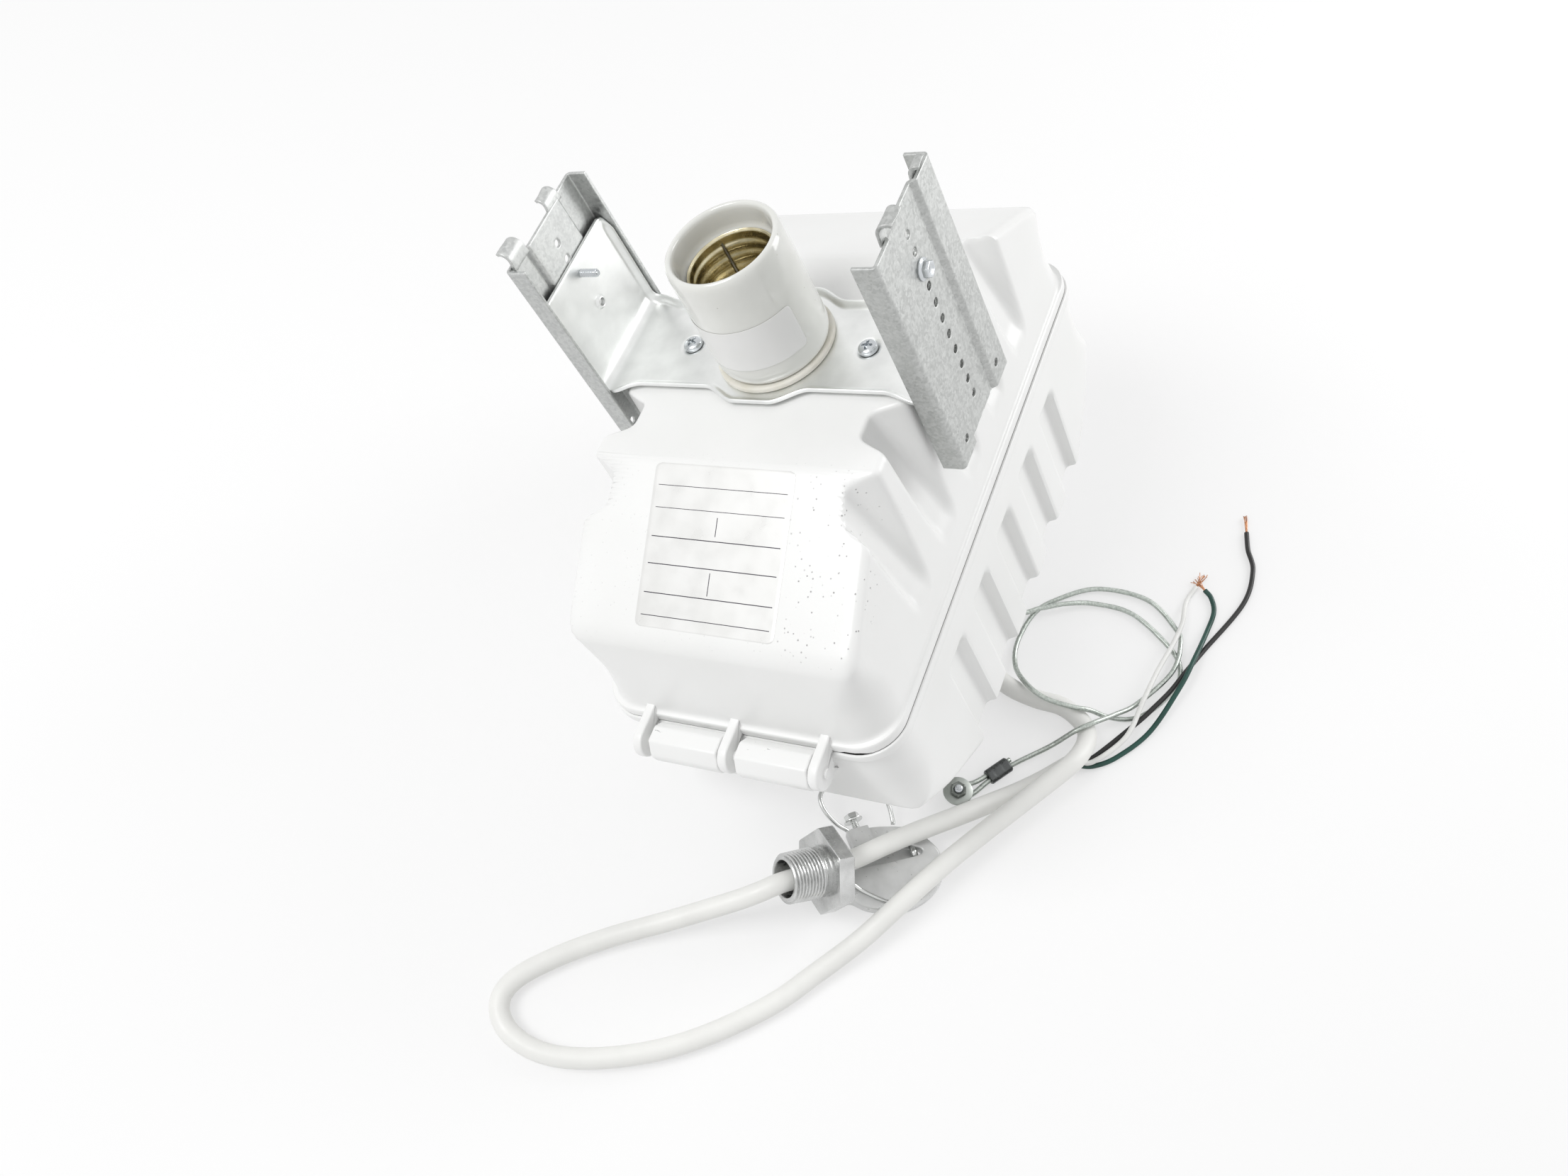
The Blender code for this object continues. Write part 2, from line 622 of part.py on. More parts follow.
# Rating plate, blank
angle = math.atan2(LOWER_HEIGHT - LOWER_SKIRT, LOWER_SLOPE)
slope_top = Vector((0, lower_front + LOWER_LEAN + LOWER_SLOPE, LOWER_HEIGHT))
down, out = Vector((0, -math.cos(angle), -math.sin(angle))), Vector((0, -math.sin(angle), math.cos(angle)))
rings = []
for rise in (GAP, GAP + LABEL_THICK):
    ring = []
    for x, along in rounded(
        [(-LABEL_HALF, 0.001), (LABEL_HALF, 0.001), (LABEL_HALF, LABEL_LENGTH),
        (-LABEL_HALF, LABEL_LENGTH)], 0.003, 3
    ):
        ring.append(slope_top + Vector((x, 0, 0)) + down * along + out * rise)
    rings.append(ring)
solid("rating_plate", [loft(*rings)], PAPER)

# Socket bracket: a bent strap with two ears
corners = [(-EAR_X, EAR_TOP), (-EAR_X, PLATE_LOW), (EAR_X, PLATE_LOW), (EAR_X, EAR_TOP)]
inner = EAR_X - PLATE_THICK
corners += [(inner, EAR_TOP), (inner, PLATE_TOP), (-inner, PLATE_TOP), (-inner, EAR_TOP)]
strap = rounded(corners, [0, BEND, BEND, 0, 0, BEND - PLATE_THICK, BEND - PLATE_THICK, 0])
bracket = solid(
    "socket_bracket", [along_y(strap, SOCKET_Y - EAR_HALF, SOCKET_Y + EAR_HALF)], STEEL
)
wing, neck, bulge = EAR_X - BEND, EAR_X - PLATE_NECK, PLATE_BULGE
front = [(-EAR_X - 0.002, -EAR_HALF), (-wing, -EAR_HALF), (-neck, -PLATE_HALF), (-BULGE_HALF, -PLATE_HALF)]
front += [(-BULGE_HALF / 2, -0.962 * bulge), (0, -bulge), (BULGE_HALF / 2, -0.962 * bulge)]
front += [(BULGE_HALF, -PLATE_HALF), (neck, -PLATE_HALF), (wing, -EAR_HALF), (EAR_X + 0.002, -EAR_HALF)]
outline = [(x, SOCKET_Y + y - (0.001 if abs(x) > wing - 0.001 else 0)) for x, y in front]
outline += [(x, 2 * SOCKET_Y - y) for x, y in reversed(outline)]
keep(bracket, solid("bracket_plan", [along_z(outline, 0.05, 0.25)]))
holes = [
    rod((s * PLATE_SCREW, SOCKET_Y, 0.08), (s * PLATE_SCREW, SOCKET_Y, 0.11), SCREW_RADIUS + GAP, 12)
    for s in (-1, 1)
]
holes += [
    rod((s * SOCKET_SCREW, SOCKET_Y, 0.08), (s * SOCKET_SCREW, SOCKET_Y, 0.11), SCREW_RADIUS + GAP, 12)
    for s in (-1, 1)
]
holes += [rod((0, SOCKET_Y, 0.08), (0, SOCKET_Y, 0.11), PLATE_OPENING, 24)]
for s in (-1, 1):
    holes.append(
        rod((s * (EAR_X - 0.01), SOCKET_Y, EAR_SCREW_Z), (s * (EAR_X + 0.01), SOCKET_Y, EAR_SCREW_Z),
        SCREW_RADIUS + GAP, 12)
    )
    low = EAR_SCREW_Z - 2 * HOLE_PITCH
    holes.append(rod((s * (EAR_X - 0.01), SOCKET_Y, low), (s * (EAR_X + 0.01), SOCKET_Y, low),
        HOLE_RADIUS, 12))
cut(bracket, solid("bracket_holes", holes))
for name, side in (("bracket_screw_left", -1), ("bracket_screw_right", 1)):
    screw(name, (side * PLATE_SCREW, SOCKET_Y, PLATE_TOP), (0, 0, 1), PLATE_SCREW_REACH)

# Rails: stepped channels that hug the ears
lip = 0.414 * RAIL_THICK
outer_step, inner_step = 0.017, 0.0146
face = [(RAIL_OUT - RAIL_FLANGE, RAIL_HALF), (RAIL_OUT, RAIL_HALF), (RAIL_OUT, outer_step),
    (RAIL_MID, inner_step)]
back = [
    (RAIL_OUT - RAIL_FLANGE, RAIL_HALF - RAIL_THICK),
    (RAIL_OUT - RAIL_THICK, RAIL_HALF - RAIL_THICK),
    (RAIL_OUT - RAIL_THICK, outer_step + lip),
    (RAIL_MID - RAIL_THICK, inner_step + lip),
]
section = face + [(x, -y) for x, y in reversed(face)]
section += [(x, -y) for x, y in back] + list(reversed(back))
for name, side in (("left_rail", -1), ("right_rail", 1)):
    outline = [(side * x, SOCKET_Y + y) for x, y in section]
    rail = solid(name, [along_z(outline, RAIL_TOP - RAIL_LENGTH, RAIL_TOP)], GALVANISED)
    tabs = []
    for place in (-1, 1):
        y = SOCKET_Y + place * 0.0095
        ring = []
        for z, x in ((RAIL_TOP - 0.003, 0.0), (RAIL_TOP + 0.003, 0.0), (RAIL_TOP + 0.007, 0.003)):
            ring.append(
                [
                    (side * (RAIL_MID - RAIL_THICK + 0.0002 + x), y - 0.0045, z),
                    (side * (RAIL_MID - 0.0002 + x), y - 0.0045, z),
                    (side * (RAIL_MID - 0.0002 + x), y + 0.0045, z),
                    (side * (RAIL_MID - RAIL_THICK + 0.0002 + x), y + 0.0045, z),
                ]
            )
        tabs.append(loft(*ring))
    join(rail, solid(name + "_tabs", tabs))
    holes = []
    for i in range(HOLE_COUNT):
        z = RAIL_TOP - HOLE_FIRST - i * HOLE_PITCH
        radius = SCREW_RADIUS + GAP if i == SCREW_HOLE else HOLE_RADIUS
        holes.append(rod((side * (EAR_X - 0.003), SOCKET_Y, z), (side * (RAIL_OUT + 0.005), SOCKET_Y, z),
            radius, 12))
    z = RAIL_TOP - RAIL_LENGTH + 0.010
    for y in (-0.022, 0.0, 0.022):
        if y or z < RAIL_TOP - HOLE_FIRST - HOLE_COUNT * HOLE_PITCH + 0.004:
            holes.append(
                rod((side * (EAR_X - 0.003), SOCKET_Y + y, z),
                (side * (RAIL_OUT + 0.005), SOCKET_Y + y, z), HOLE_RADIUS, 12)
            )
    cut(rail, solid(name + "_holes", holes))
    screw(name + "_screw", (side * RAIL_MID, SOCKET_Y, EAR_SCREW_Z), (side, 0, 0), 0.014)

# Socket
r = SOCKET_RADIUS
mouth = SOCKET_MOUTH
well = SHELL_RADIUS + GAP + 0.0006
porcelain = [
    (0, 0.0),
    (r + 0.0022, 0.0),
    (r + 0.0022, 0.004),
    (r + 0.0008, 0.0065),
    (r, 0.010),
    (r, SOCKET_HEIGHT - 0.002),
    (r - 0.0012, SOCKET_HEIGHT),
    (mouth + 0.001, SOCKET_HEIGHT),
    (mouth, SOCKET_HEIGHT - 0.001),
    (mouth - 0.0004, SOCKET_HEIGHT - 0.012),
    (well, SOCKET_HEIGHT - 0.015),
    (well, SOCKET_BASE),
    (0, SOCKET_BASE),
]
socket = turned("socket_body", porcelain, (0, SOCKET_Y, SOCKET_LOW), (0, 0, 1), PORCELAIN, steps=40)
holes = [
    rod((s * SOCKET_SCREW, SOCKET_Y, SOCKET_LOW - 0.002),
    (s * SOCKET_SCREW, SOCKET_Y, SOCKET_LOW + 0.008), SCREW_RADIUS + GAP, 12)
    for s in (-1, 1)
]
stem = 0.002
holes.append(rod((0, SOCKET_Y, SOCKET_LOW + 0.004), (0, SOCKET_Y, SOCKET_FLOOR + 0.002), stem + GAP, 12))
cut(socket, solid("socket_holes", holes))
for name, side in (("socket_screw_left", -1), ("socket_screw_right", 1)):
    screw(name, (side * SOCKET_SCREW, SOCKET_Y, PLATE_LOW), (0, 0, -1), 0.0075, SCREW_RADIUS, 0.004)
shell_low = SOCKET_FLOOR + GAP
waves = 4
outside, inside = [], []
for i in range(waves * 4 + 1):
    z = shell_low + 0.003 + (SHELL_HEIGHT - 0.003) * i / (waves * 4)
    depth = 0.0009 * (1 + math.cos(math.pi * i / 2)) / 2
    outside.append((SHELL_RADIUS - depth, z))
    inside.append((SHELL_RADIUS - depth - SHELL_WALL, z))
floor_hole = CONTACT_RADIUS + 0.004
shell = [(floor_hole, shell_low), (SHELL_RADIUS - 0.0015, shell_low)] + outside + inside[::-1]
shell += [(SHELL_RADIUS - 0.0015 - SHELL_WALL, shell_low + SHELL_WALL),
    (floor_hole, shell_low + SHELL_WALL)]
turned("screw_shell", shell, (0, SOCKET_Y, 0), (0, 0, 1), BRASS, steps=20)
contact = [
    (0, 0.0085),
    (0.6 * CONTACT_RADIUS, 0.0082),
    (CONTACT_RADIUS, 0.0068),
    (CONTACT_RADIUS, 0.0056),
    (stem, 0.0056),
    (stem, -0.006),
    (0, -0.006),
]
turned("centre_contact", contact, (0, SOCKET_Y, SOCKET_FLOOR), (0, 0, 1), BRASS, steps=20)

# Ballast, capacitor, ignitor and terminals inside the upper half
core_low = SEAT + GAP
core_top = core_low + CORE_HEIGHT
y0, y1 = CORE_Y - CORE_STACK / 2, CORE_Y + CORE_STACK / 2
core = solid("ballast_core", [block((-CORE_HALF, y0, core_low), (CORE_HALF, y1, core_top))], IRON)
window_low, window_top = core_low + CORE_LEG, core_top - CORE_LEG
cut(
    core,
    solid(
        "core_windows",
        [
            block((CORE_LEG, y0 - 0.01, window_low), (CORE_LEG + WINDOW, y1 + 0.01, window_top)),
            block((-CORE_LEG - WINDOW, y0 - 0.01, window_low), (-CORE_LEG, y1 + 0.01, window_top)),
        ],
    ),
)
coil_half = CORE_LEG + WINDOW - GAP
coil_reach = CORE_STACK / 2 + WINDOW - 0.004
ring = rounded(
    [(-coil_half, -coil_reach), (coil_half, -coil_reach), (coil_half, coil_reach),
    (-coil_half, coil_reach)], COIL_CORNER, 5
)
coil = solid(
    "ballast_coil", [along_z([(x, CORE_Y + y) for x, y in ring], window_low + GAP, window_top - GAP)],
    COPPER
)
leg = CORE_LEG + GAP
cut(
    coil,
    solid("coil_bore", [block((-leg, y0 - GAP, window_low - 0.01), (leg, y1 + GAP, window_top + 0.01))]),
)
for name, side in (("ballast_bracket_left", -1), ("ballast_bracket_right", 1)):
    a, t = CORE_HALF + GAP, FOOT_THICK
    shape = [(a, core_low), (a + FOOT_REACH, core_low), (a + FOOT_REACH, core_low + t),
        (a + t, core_low + t)]
    shape += [(a + t, core_low + FOOT_RISE), (a, core_low + FOOT_RISE)]
    foot = solid(name, [along_y([(side * x, z) for x, z in shape], CORE_Y - FOOT_WIDTH / 2,
        CORE_Y + FOOT_WIDTH / 2)], STEEL)
    x = side * BRACKET_BOSS
    cut(foot, solid(name + "_hole",
        [rod((x, CORE_Y, SEAT - 0.01), (x, CORE_Y, SEAT + 0.01), SCREW_RADIUS + GAP, 12)]))
    screw(name.replace("bracket", "bolt"), (x, CORE_Y, core_low + t), (0, 0, 1), 0.0075)
can = [
    (0, 0.0),
    (CAN_RADIUS - 0.002, 0.0),
    (CAN_RADIUS, 0.002),
    (CAN_RADIUS, CAN_LENGTH - 0.004),
    (CAN_RADIUS - CAN_SEAM, CAN_LENGTH - 0.004),
    (CAN_RADIUS - CAN_SEAM, CAN_LENGTH),
    (0, CAN_LENGTH),
]
turned("capacitor", can, (-CAN_START, CAN_Y, CAN_Z), (1, 0, 0), ALUMINIUM, steps=24)
band, t = CAN_RADIUS + GAP, 0.0015
strap_low = SEAT + GAP
hoop = [
    (band * math.cos(math.radians(d)), CAN_Z + band * math.sin(math.radians(d))) for d in range(0, 181, 15)
]
over = [
    ((band + t) * math.cos(math.radians(d)), CAN_Z + (band + t) * math.sin(math.radians(d)))
    for d in range(180, -1, -15)
]
reach = STRAP_FOOT + 0.006
omega = [(band, strap_low)] + hoop + [(-band, strap_low), (-reach, strap_low), (-reach, strap_low + t),
    (-band - t, strap_low + t)]
omega += over + [(band + t, strap_low + t), (reach, strap_low + t), (reach, strap_low)]
strap_piece = solid(
    "capacitor_strap", [along_x([(CAN_Y + y, z) for y, z in omega], STRAP_X - 0.0075, STRAP_X + 0.0075)],
    GALVANISED
)
feet = [CAN_Y - STRAP_FOOT, CAN_Y + STRAP_FOOT]
cut(
    strap_piece,
    solid("strap_holes", [rod((STRAP_X, y, SEAT - 0.01), (STRAP_X, y, SEAT + 0.01), SCREW_RADIUS + GAP,
    12) for y in feet]),
)
for name, y in zip(("strap_screw_front", "strap_screw_back"), feet):
    screw(name, (STRAP_X, y, strap_low + t), (0, 0, 1), 0.0065, head=0.0036)
x, y = IGNITOR
half, reach, foot = IGNITOR_HALF, IGNITOR_LENGTH / 2, IGNITOR_FOOT_HALF
ignitor = solid(
    "ignitor", [block((x - half, y - reach, SEAT + GAP), (x + half, y + reach, SEAT + IGNITOR_HEIGHT))],
    PLASTIC
)
low, high = (x - foot, y + reach - WALL, SEAT + GAP), (x + foot, y + reach + IGNITOR_FOOT,
    SEAT + IGNITOR_FOOT_THICK)
join(ignitor, solid("ignitor_foot", [block(low, high)]))
y += reach + IGNITOR_FOOT / 2
cut(ignitor, solid("ignitor_hole", [rod((x, y, SEAT - 0.01), (x, y, SEAT + 0.01), SCREW_RADIUS + GAP, 12)]))
screw("ignitor_screw", (x, y, SEAT + IGNITOR_FOOT_THICK), (0, 0, 1),
    IGNITOR_FOOT_THICK + 0.75 * BOSS_HEIGHT)
x, y = TERMINAL
half, reach, top = TERMINAL_HALF, TERMINAL_WIDTH / 2, SEAT + TERMINAL_HEIGHT
terminal = solid("terminal_block",
    [block((x - half, y - reach, SEAT + GAP), (x + half, y + reach, top))], PLASTIC)
cut(terminal, solid("terminal_hole",
    [rod((x, y, SEAT - 0.01), (x, y, top + 0.006), SCREW_RADIUS + GAP, 12)]))
wells = [
    block((x + dx - 0.0035, y + dy - 0.003, top - 0.006), (x + dx + 0.0035, y + dy + 0.003, top + 0.006))
    for dx in (0.005 - half, half - 0.005)
    for dy in (-reach / 2, reach / 2)
]
cut(terminal, solid("terminal_wells", wells))
screw("terminal_screw", (x, y, top), (0, 0, 1), TERMINAL_HEIGHT + 0.75 * BOSS_HEIGHT, head=0.0034)
bush = [
    (CORD_RADIUS + GAP, INSIDE + 0.004),
    (HUB_BORE + 0.003, INSIDE + 0.004),
    (HUB_BORE + 0.003, INSIDE + GAP),
    (HUB_BORE - GAP, INSIDE + GAP),
    (HUB_BORE - GAP - 0.0005, INSIDE - 0.009),
    (CORD_RADIUS + GAP, INSIDE - 0.009),
]
turned("hub_bushing", bush, (0, HUB_Y, 0), (0, 0, 1), RUBBER, steps=24)

# Cord: from the hub, round the loop on the floor and back through the hook
lean = Matrix.Translation((0, 0, LIFT)) @ Matrix.Rotation(-LEAN, 4, "Y")


def laid(x, y, z):
    """A point of the housing frame, on the floor frame."""
    return tuple(lean @ Vector((x, y, z)))


exit_z = -UPPER_DEPTH - HUB_HEIGHT
start = [laid(0, HUB_Y, INSIDE + 0.011), laid(0, HUB_Y, INSIDE - 0.001), laid(0, HUB_Y, INSIDE - 0.010)]
start += [laid(0.0012, HUB_Y, exit_z + 0.0105), laid(0.0040, HUB_Y, exit_z + 0.003)]
loop = millimetres(
    (55.0, 157.8, 7.2), (63.5, 155.0, 5.6), (85.0, 143.0, 5.6), (108.7, 131.4, 5.6),
    (126.3, 128.8, 5.6), (141.5, 129.5, 5.6), (152.6, 125.5, 5.7), (158.6, 118.5, 7.6),
    (159.5, 108.6, 13.0), (156.6, 96.6, 18.2), (150.4, 84.8, 19.2), (133.8, 58.2, 18.8),
    (121.8, 39.0, 18.4), (108.6, 17.2, 17.2), (93.8, -10.2, 15.6), (80.7, -33.7, 10.6),
    (64.9, -56.9, 6.4), (48.8, -79.8, 5.6), (23.0, -105.8, 5.6), (-2.1, -123.8, 5.6),
    (-29.3, -136.6, 5.6), (-50.8, -140.8, 5.6), (-69.0, -136.8, 5.6), (-78.2, -126.2, 5.6),
    (-75.9, -113.0, 5.6), (-61.2, -95.5, 5.6), (-39.5, -76.7, 6.4), (-12.9, -58.6, 11.5),
    (14.9, -41.3, 24.0), (26.1, -33.5, 29.6), (34.9, -25.7, 31.6), (45.4, -16.3, 27.7),
    (56.5, -6.0, 23.4), (65.1, 2.8, 20.9), (77.4, 16.3, 18.4), (91.7, 30.5, 17.0), (107.2, 45.5, 14.2),
    (120.3, 59.2, 9.6), (131.9, 71.1, 6.2), (142.7, 82.6, 5.6), (150.7, 92.3, 5.6), (156.7, 99.7, 5.6),
)
tube("cord", start + loop, CORD_RADIUS, JACKET)
tube(
    "black_wire",
    millimetres(
        (158.2, 102.6, 5.0), (165.5, 107.0, 1.8), (183.0, 134.6, 4.2), (190.0, 147.5, 5.2),
        (196.2, 160.5, 5.2), (201.0, 174.0, 4.6),
        (207.9, 192.5, 1.8),
        (222.6, 230.0, 1.8), (223.3, 253.7, 1.8), (217.6, 266.7, 1.8), (214.3, 277.9, 1.8),
    ),
    WIRE_RADIUS, BLACK, per=4,
)
tube(
    "white_wire",
    millimetres(
        (158.6, 100.6, 7.0), (167.0, 104.6, 5.2), (179.6, 124.0, 6.8), (183.0, 148.0, 8.6),
        (186.0, 168.0, 8.4),
        (189.9, 186.4, 7.6), (192.2, 203.0, 5.8), (191.6, 219.6, 1.8), (194.7, 231.6, 1.8),
    ),
    WIRE_RADIUS, JACKET, per=4,
)
tube(
    "green_wire",
    millimetres(
        (159.2, 99.6, 3.6), (168.0, 103.4, 1.8), (178.5, 113.0, 1.8), (191.5, 133.4, 3.0),
        (200.0, 162.7, 8.0),
        (203.6, 183.0, 7.6), (207.0, 205.0, 2.4), (208.0, 219.0, 1.8), (204.5, 227.5, 1.8),
        (199.9, 231.3, 1.8),
    ),
    WIRE_RADIUS, GREEN, per=4,
)

# Hanging hook that the cord passes through: its arm lies on the floor and its nipple points up
hook_frame = empty("hook_frame", stand, (0.0341, -0.0199, 0), (0, 0, math.radians(43)))
nipple_frame = empty("nipple_frame", stand, (0.0354, -0.0242, NIPPLE_Z), (0, NIPPLE_RISE, math.radians(40.2)))
grooves = []
for i in range(8):
    s = 0.0012 + i * (NIPPLE_LENGTH - 0.005) / 8
    taper = NIPPLE_RADIUS - 0.0006 * (1 - i / 8)
    grooves += [(taper - 0.0009, s), (taper, s + 0.0009)]
nipple = [(NIPPLE_BORE, 0.0), (NIPPLE_RADIUS - 0.0018, 0.0)] + grooves
nipple += [(NIPPLE_RADIUS - 0.001, NIPPLE_LENGTH - 0.003), (NIPPLE_RADIUS, NIPPLE_LENGTH + 0.002)]
nipple += [(NIPPLE_RADIUS, NIPPLE_LENGTH + HEX_LENGTH - 0.002),
    (NIPPLE_BORE, NIPPLE_LENGTH + HEX_LENGTH - 0.002)]
hook = turned("hook_body", nipple, (0, 0, 0), (1, 0, 0), ALUMINIUM, nipple_frame, 22)
hexagon = [(HEX_CORNER * math.cos(turn), HEX_CORNER * math.sin(turn)) for turn in HEX_TURNS]
hex_solid = solid("hook_hex", [along_x(hexagon, NIPPLE_LENGTH, NIPPLE_LENGTH + HEX_LENGTH)], None,
    nipple_frame)
hex_bore = [rod((NIPPLE_LENGTH - 0.01, 0, 0), (NIPPLE_LENGTH + HEX_LENGTH + 0.01, 0, 0), NIPPLE_BORE, 28)]
cut(hex_solid, solid("hook_bore", hex_bore, None, nipple_frame))
join(hook, hex_solid)
arm = millimetres(
    (16, -19), (28, -20.5), (34.7, -28.5), (46, -34.5), (57.6, -36.2), (70, -33.5), (79.2, -26.5),
    (82.3, -15.4),
    (80, -7), (73.7, 3), (60, 9.5), (46, 12.5), (41, 12.5), (41, 4), (58, 0), (68, -5), (74, -9.5),
    (72.5, -12.2),
    (50, -8.6), (30, -5), (23, 2), (16, 2),
)
ring = rounded(arm, [0, 0.003, 0.006, 0.006, 0.006, 0.006, 0.005, 0.005, 0.005, 0.005, 0.006, 0, 0.002,
    0.002, 0.005, 0.004, 0.002, 0.001, 0.005, 0.003, 0.002, 0], 3)
join(hook, solid("hook_arm", [along_z(ring, 0.0006, 0.0006 + HOOK_THICK)], None, hook_frame))
bolt_z = 0.0006 + HOOK_THICK / 2
hole = [rod((0.0475, -0.004, bolt_z), (0.0475, 0.02, bolt_z), SCREW_RADIUS + GAP, 12)]
cut(hook, solid("hook_bolt_hole", hole, None, hook_frame))
screw("hook_bolt", (0.0475, 0.0165, bolt_z), (0, 1, 0), 0.017, parent=hook_frame)
tube(
    "latch_wire",
    millimetres(
        (40.3, 8.0, 4.9), (37.5, 8.2, 4.9), (35.0, 11.5, 5.4), (34.2, 21.0, 9.0), (34.6, 32.0, 12.0),
        (40.0, 38.5, 13.5),
        (50.0, 40.0, 13.8), (60.0, 38.0, 13.0), (66.5, 31.0, 11.0), (68.0, 20.0, 7.5), (67.0, 11.5, 5.2),
        (66.2, 9.2, 4.9),
    ),
    0.0012, STEEL, hook_frame, per=3,
)

# Safety cable: its eye, ferrule and bolt, one turn on the floor and a swaged stud under the housing
FERRULE = (Vector((0.1160, 0.0756, 0.0036)), Vector((0.1240, 0.0873, 0.0034)))
heading = (FERRULE[1] - FERRULE[0]).normalized()
beside = heading.cross(Vector((0, 0, 1))).normalized()
pair = CABLE_RADIUS + GAP / 2
tail = [FERRULE[1] + 0.0022 * heading - pair * beside, FERRULE[0] - 0.0008 * heading - pair * beside]
onward = [FERRULE[0] - 0.0008 * heading + pair * beside, FERRULE[1] + 0.0012 * heading + pair * beside]
anchor_x, anchor_y = 0.030, HUB_Y + 0.031
run = [tuple(p) for p in tail]
run += millimetres(
    (108.3, 68.8, 4.7), (101.6, 65.5, 4.7), (98.7, 61.6, 4.7), (100.6, 57.4, 4.7), (105.2, 57.4, 4.7),
    (110.8, 63.4, 4.6),
)
run += [tuple(p) for p in onward]
run += millimetres(
    (142.0, 104.6, 4.2), (152.0, 114.0, 13.6), (160.5, 122.0, 15.2), (170.0, 133.0, 9.6),
    (180.5, 146.0, 5.0),
    (193.9, 171.0, 5.0), (194.7, 190.8, 3.8), (189.4, 201.3, 1.8), (169.7, 213.3, 1.8), (141.5, 210.0, 1.8),
    (121.4, 195.0, 1.8), (111.4, 181.3, 1.8), (107.7, 160.6, 1.8), (110.7, 145.0, 4.0),
    (119.0, 132.6, 12.6),
    (131.0, 127.2, 13.6), (146.0, 127.4, 13.4), (156.5, 130.2, 10.9), (167.0, 132.8, 4.4),
    (179.0, 137.0, 1.8),
    (188.5, 145.5, 1.8), (198.0, 163.0, 1.8), (198.6, 176.0, 1.8), (190.6, 187.0, 1.8), (165.1, 201.0, 1.8),
    (142.6, 200.0, 1.8), (124.9, 190.5, 4.2), (110.0, 186.5, 7.0),
)
run += [laid(anchor_x + 0.004, anchor_y, -UPPER_DEPTH - 0.030),
    laid(anchor_x, anchor_y, -UPPER_DEPTH - 0.016)]
run += [laid(anchor_x, anchor_y, -UPPER_DEPTH - 0.008)]
tube("safety_cable", run, CABLE_RADIUS, CABLE)
stud = [(0, -GAP), (0.0052, -GAP), (0.0052, -0.003), (0.0034, -0.004), (0.0030, -0.014)]
stud += [(CABLE_RADIUS + GAP, -0.014), (CABLE_RADIUS + GAP, -0.0075), (0, -0.0075)]
turned("cable_anchor", stud, (anchor_x, anchor_y, -UPPER_DEPTH), (0, 0, 1), STEEL, steps=16)


def oval(width, height):
    corners = [(-width, -height), (width, -height), (width, height), (-width, height)]
    return rounded(corners, 0.98 * min(width, height), 4)


def sleeve(shape):
    rows = []
    upward = beside.cross(heading)
    hole = (2 * CABLE_RADIUS + 1.5 * GAP, CABLE_RADIUS + GAP)
    for (width, height), end in (
        ((hole[0] + 0.0011, hole[1] + 0.0011), 0),
        ((hole[0] + 0.0011, hole[1] + 0.0011), 1),
        (hole, 1),
        (hole, 0),
    ):
        rows.append([shape.verts.new(FERRULE[end] + x * beside + y * upward) for x,
            y in oval(width, height)])
    for a, b in zip(rows, rows[1:] + rows[:1]):
        for i in range(len(a)):
            shape.faces.new((a[i - 1], a[i], b[i], b[i - 1]))


solid("cable_ferrule", [sleeve], RUBBER, stand)
bolt = [(0, 0.0003), (0.0042, 0.0003), (0.0042, 0.0026), (0.0022, 0.0026), (0.0022, 0.0128), (0, 0.0128)]
eye = (0.1030, 0.0613, 0)
turned("cable_bolt", bolt, eye, (0, 0, 1), STEEL, stand, 16)
washer = [(0.0025, 0.0064), (0.0076, 0.0064), (0.0076, 0.0074), (0.0025, 0.0074)]
turned("cable_washer", washer, eye, (0, 0, 1), STEEL, stand, 28)
flats = [(eye[0] + x, eye[1] + y) for x, y in disc(0.0046, 6, (0, 0), 0.3)]
nut = solid("cable_nut", [along_z(flats, 0.0077, 0.0104)], STEEL, stand)
cut(nut, solid("nut_bore", [rod((eye[0], eye[1], 0.005), (eye[0], eye[1], 0.015), 0.0025, 12)], None,
    stand))

# Set the origin under the middle of the lamp head, leaving out what lies loose on the floor
LOOSE = ("cord", "black_wire", "white_wire", "green_wire", "hook_", "latch_", "safety_", "cable_")
bpy.context.view_layer.update()
graph = bpy.context.evaluated_depsgraph_get()
spots = []
for piece in lamp.objects:
    if piece.type == "MESH" and not piece.name.startswith(LOOSE):
        shaped = piece.evaluated_get(graph)
        spots += [shaped.matrix_world @ vertex.co for vertex in shaped.data.vertices]
stand.location = [-(min(p[i] for p in spots) + max(p[i] for p in spots)) / 2 for i in (0, 1)] + [0]
print("origin moved by", tuple(round(v, 6) for v in stand.location), "lean", math.degrees(LEAN), "lift",
    LIFT)
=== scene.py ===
# %% [markdown]
# # A high-bay lamp head, dressed for the camera
# The solid model of this lamp head is given in model.glb: two cast halves on a hinge, a porcelain
# socket on a bent bracket, two perforated rails, and a hook, cord and safety cable on the floor.
# This lesson keeps that model as a fixed frame and puts a finished surface on each piece.

# %% Load the frame
import json
import math

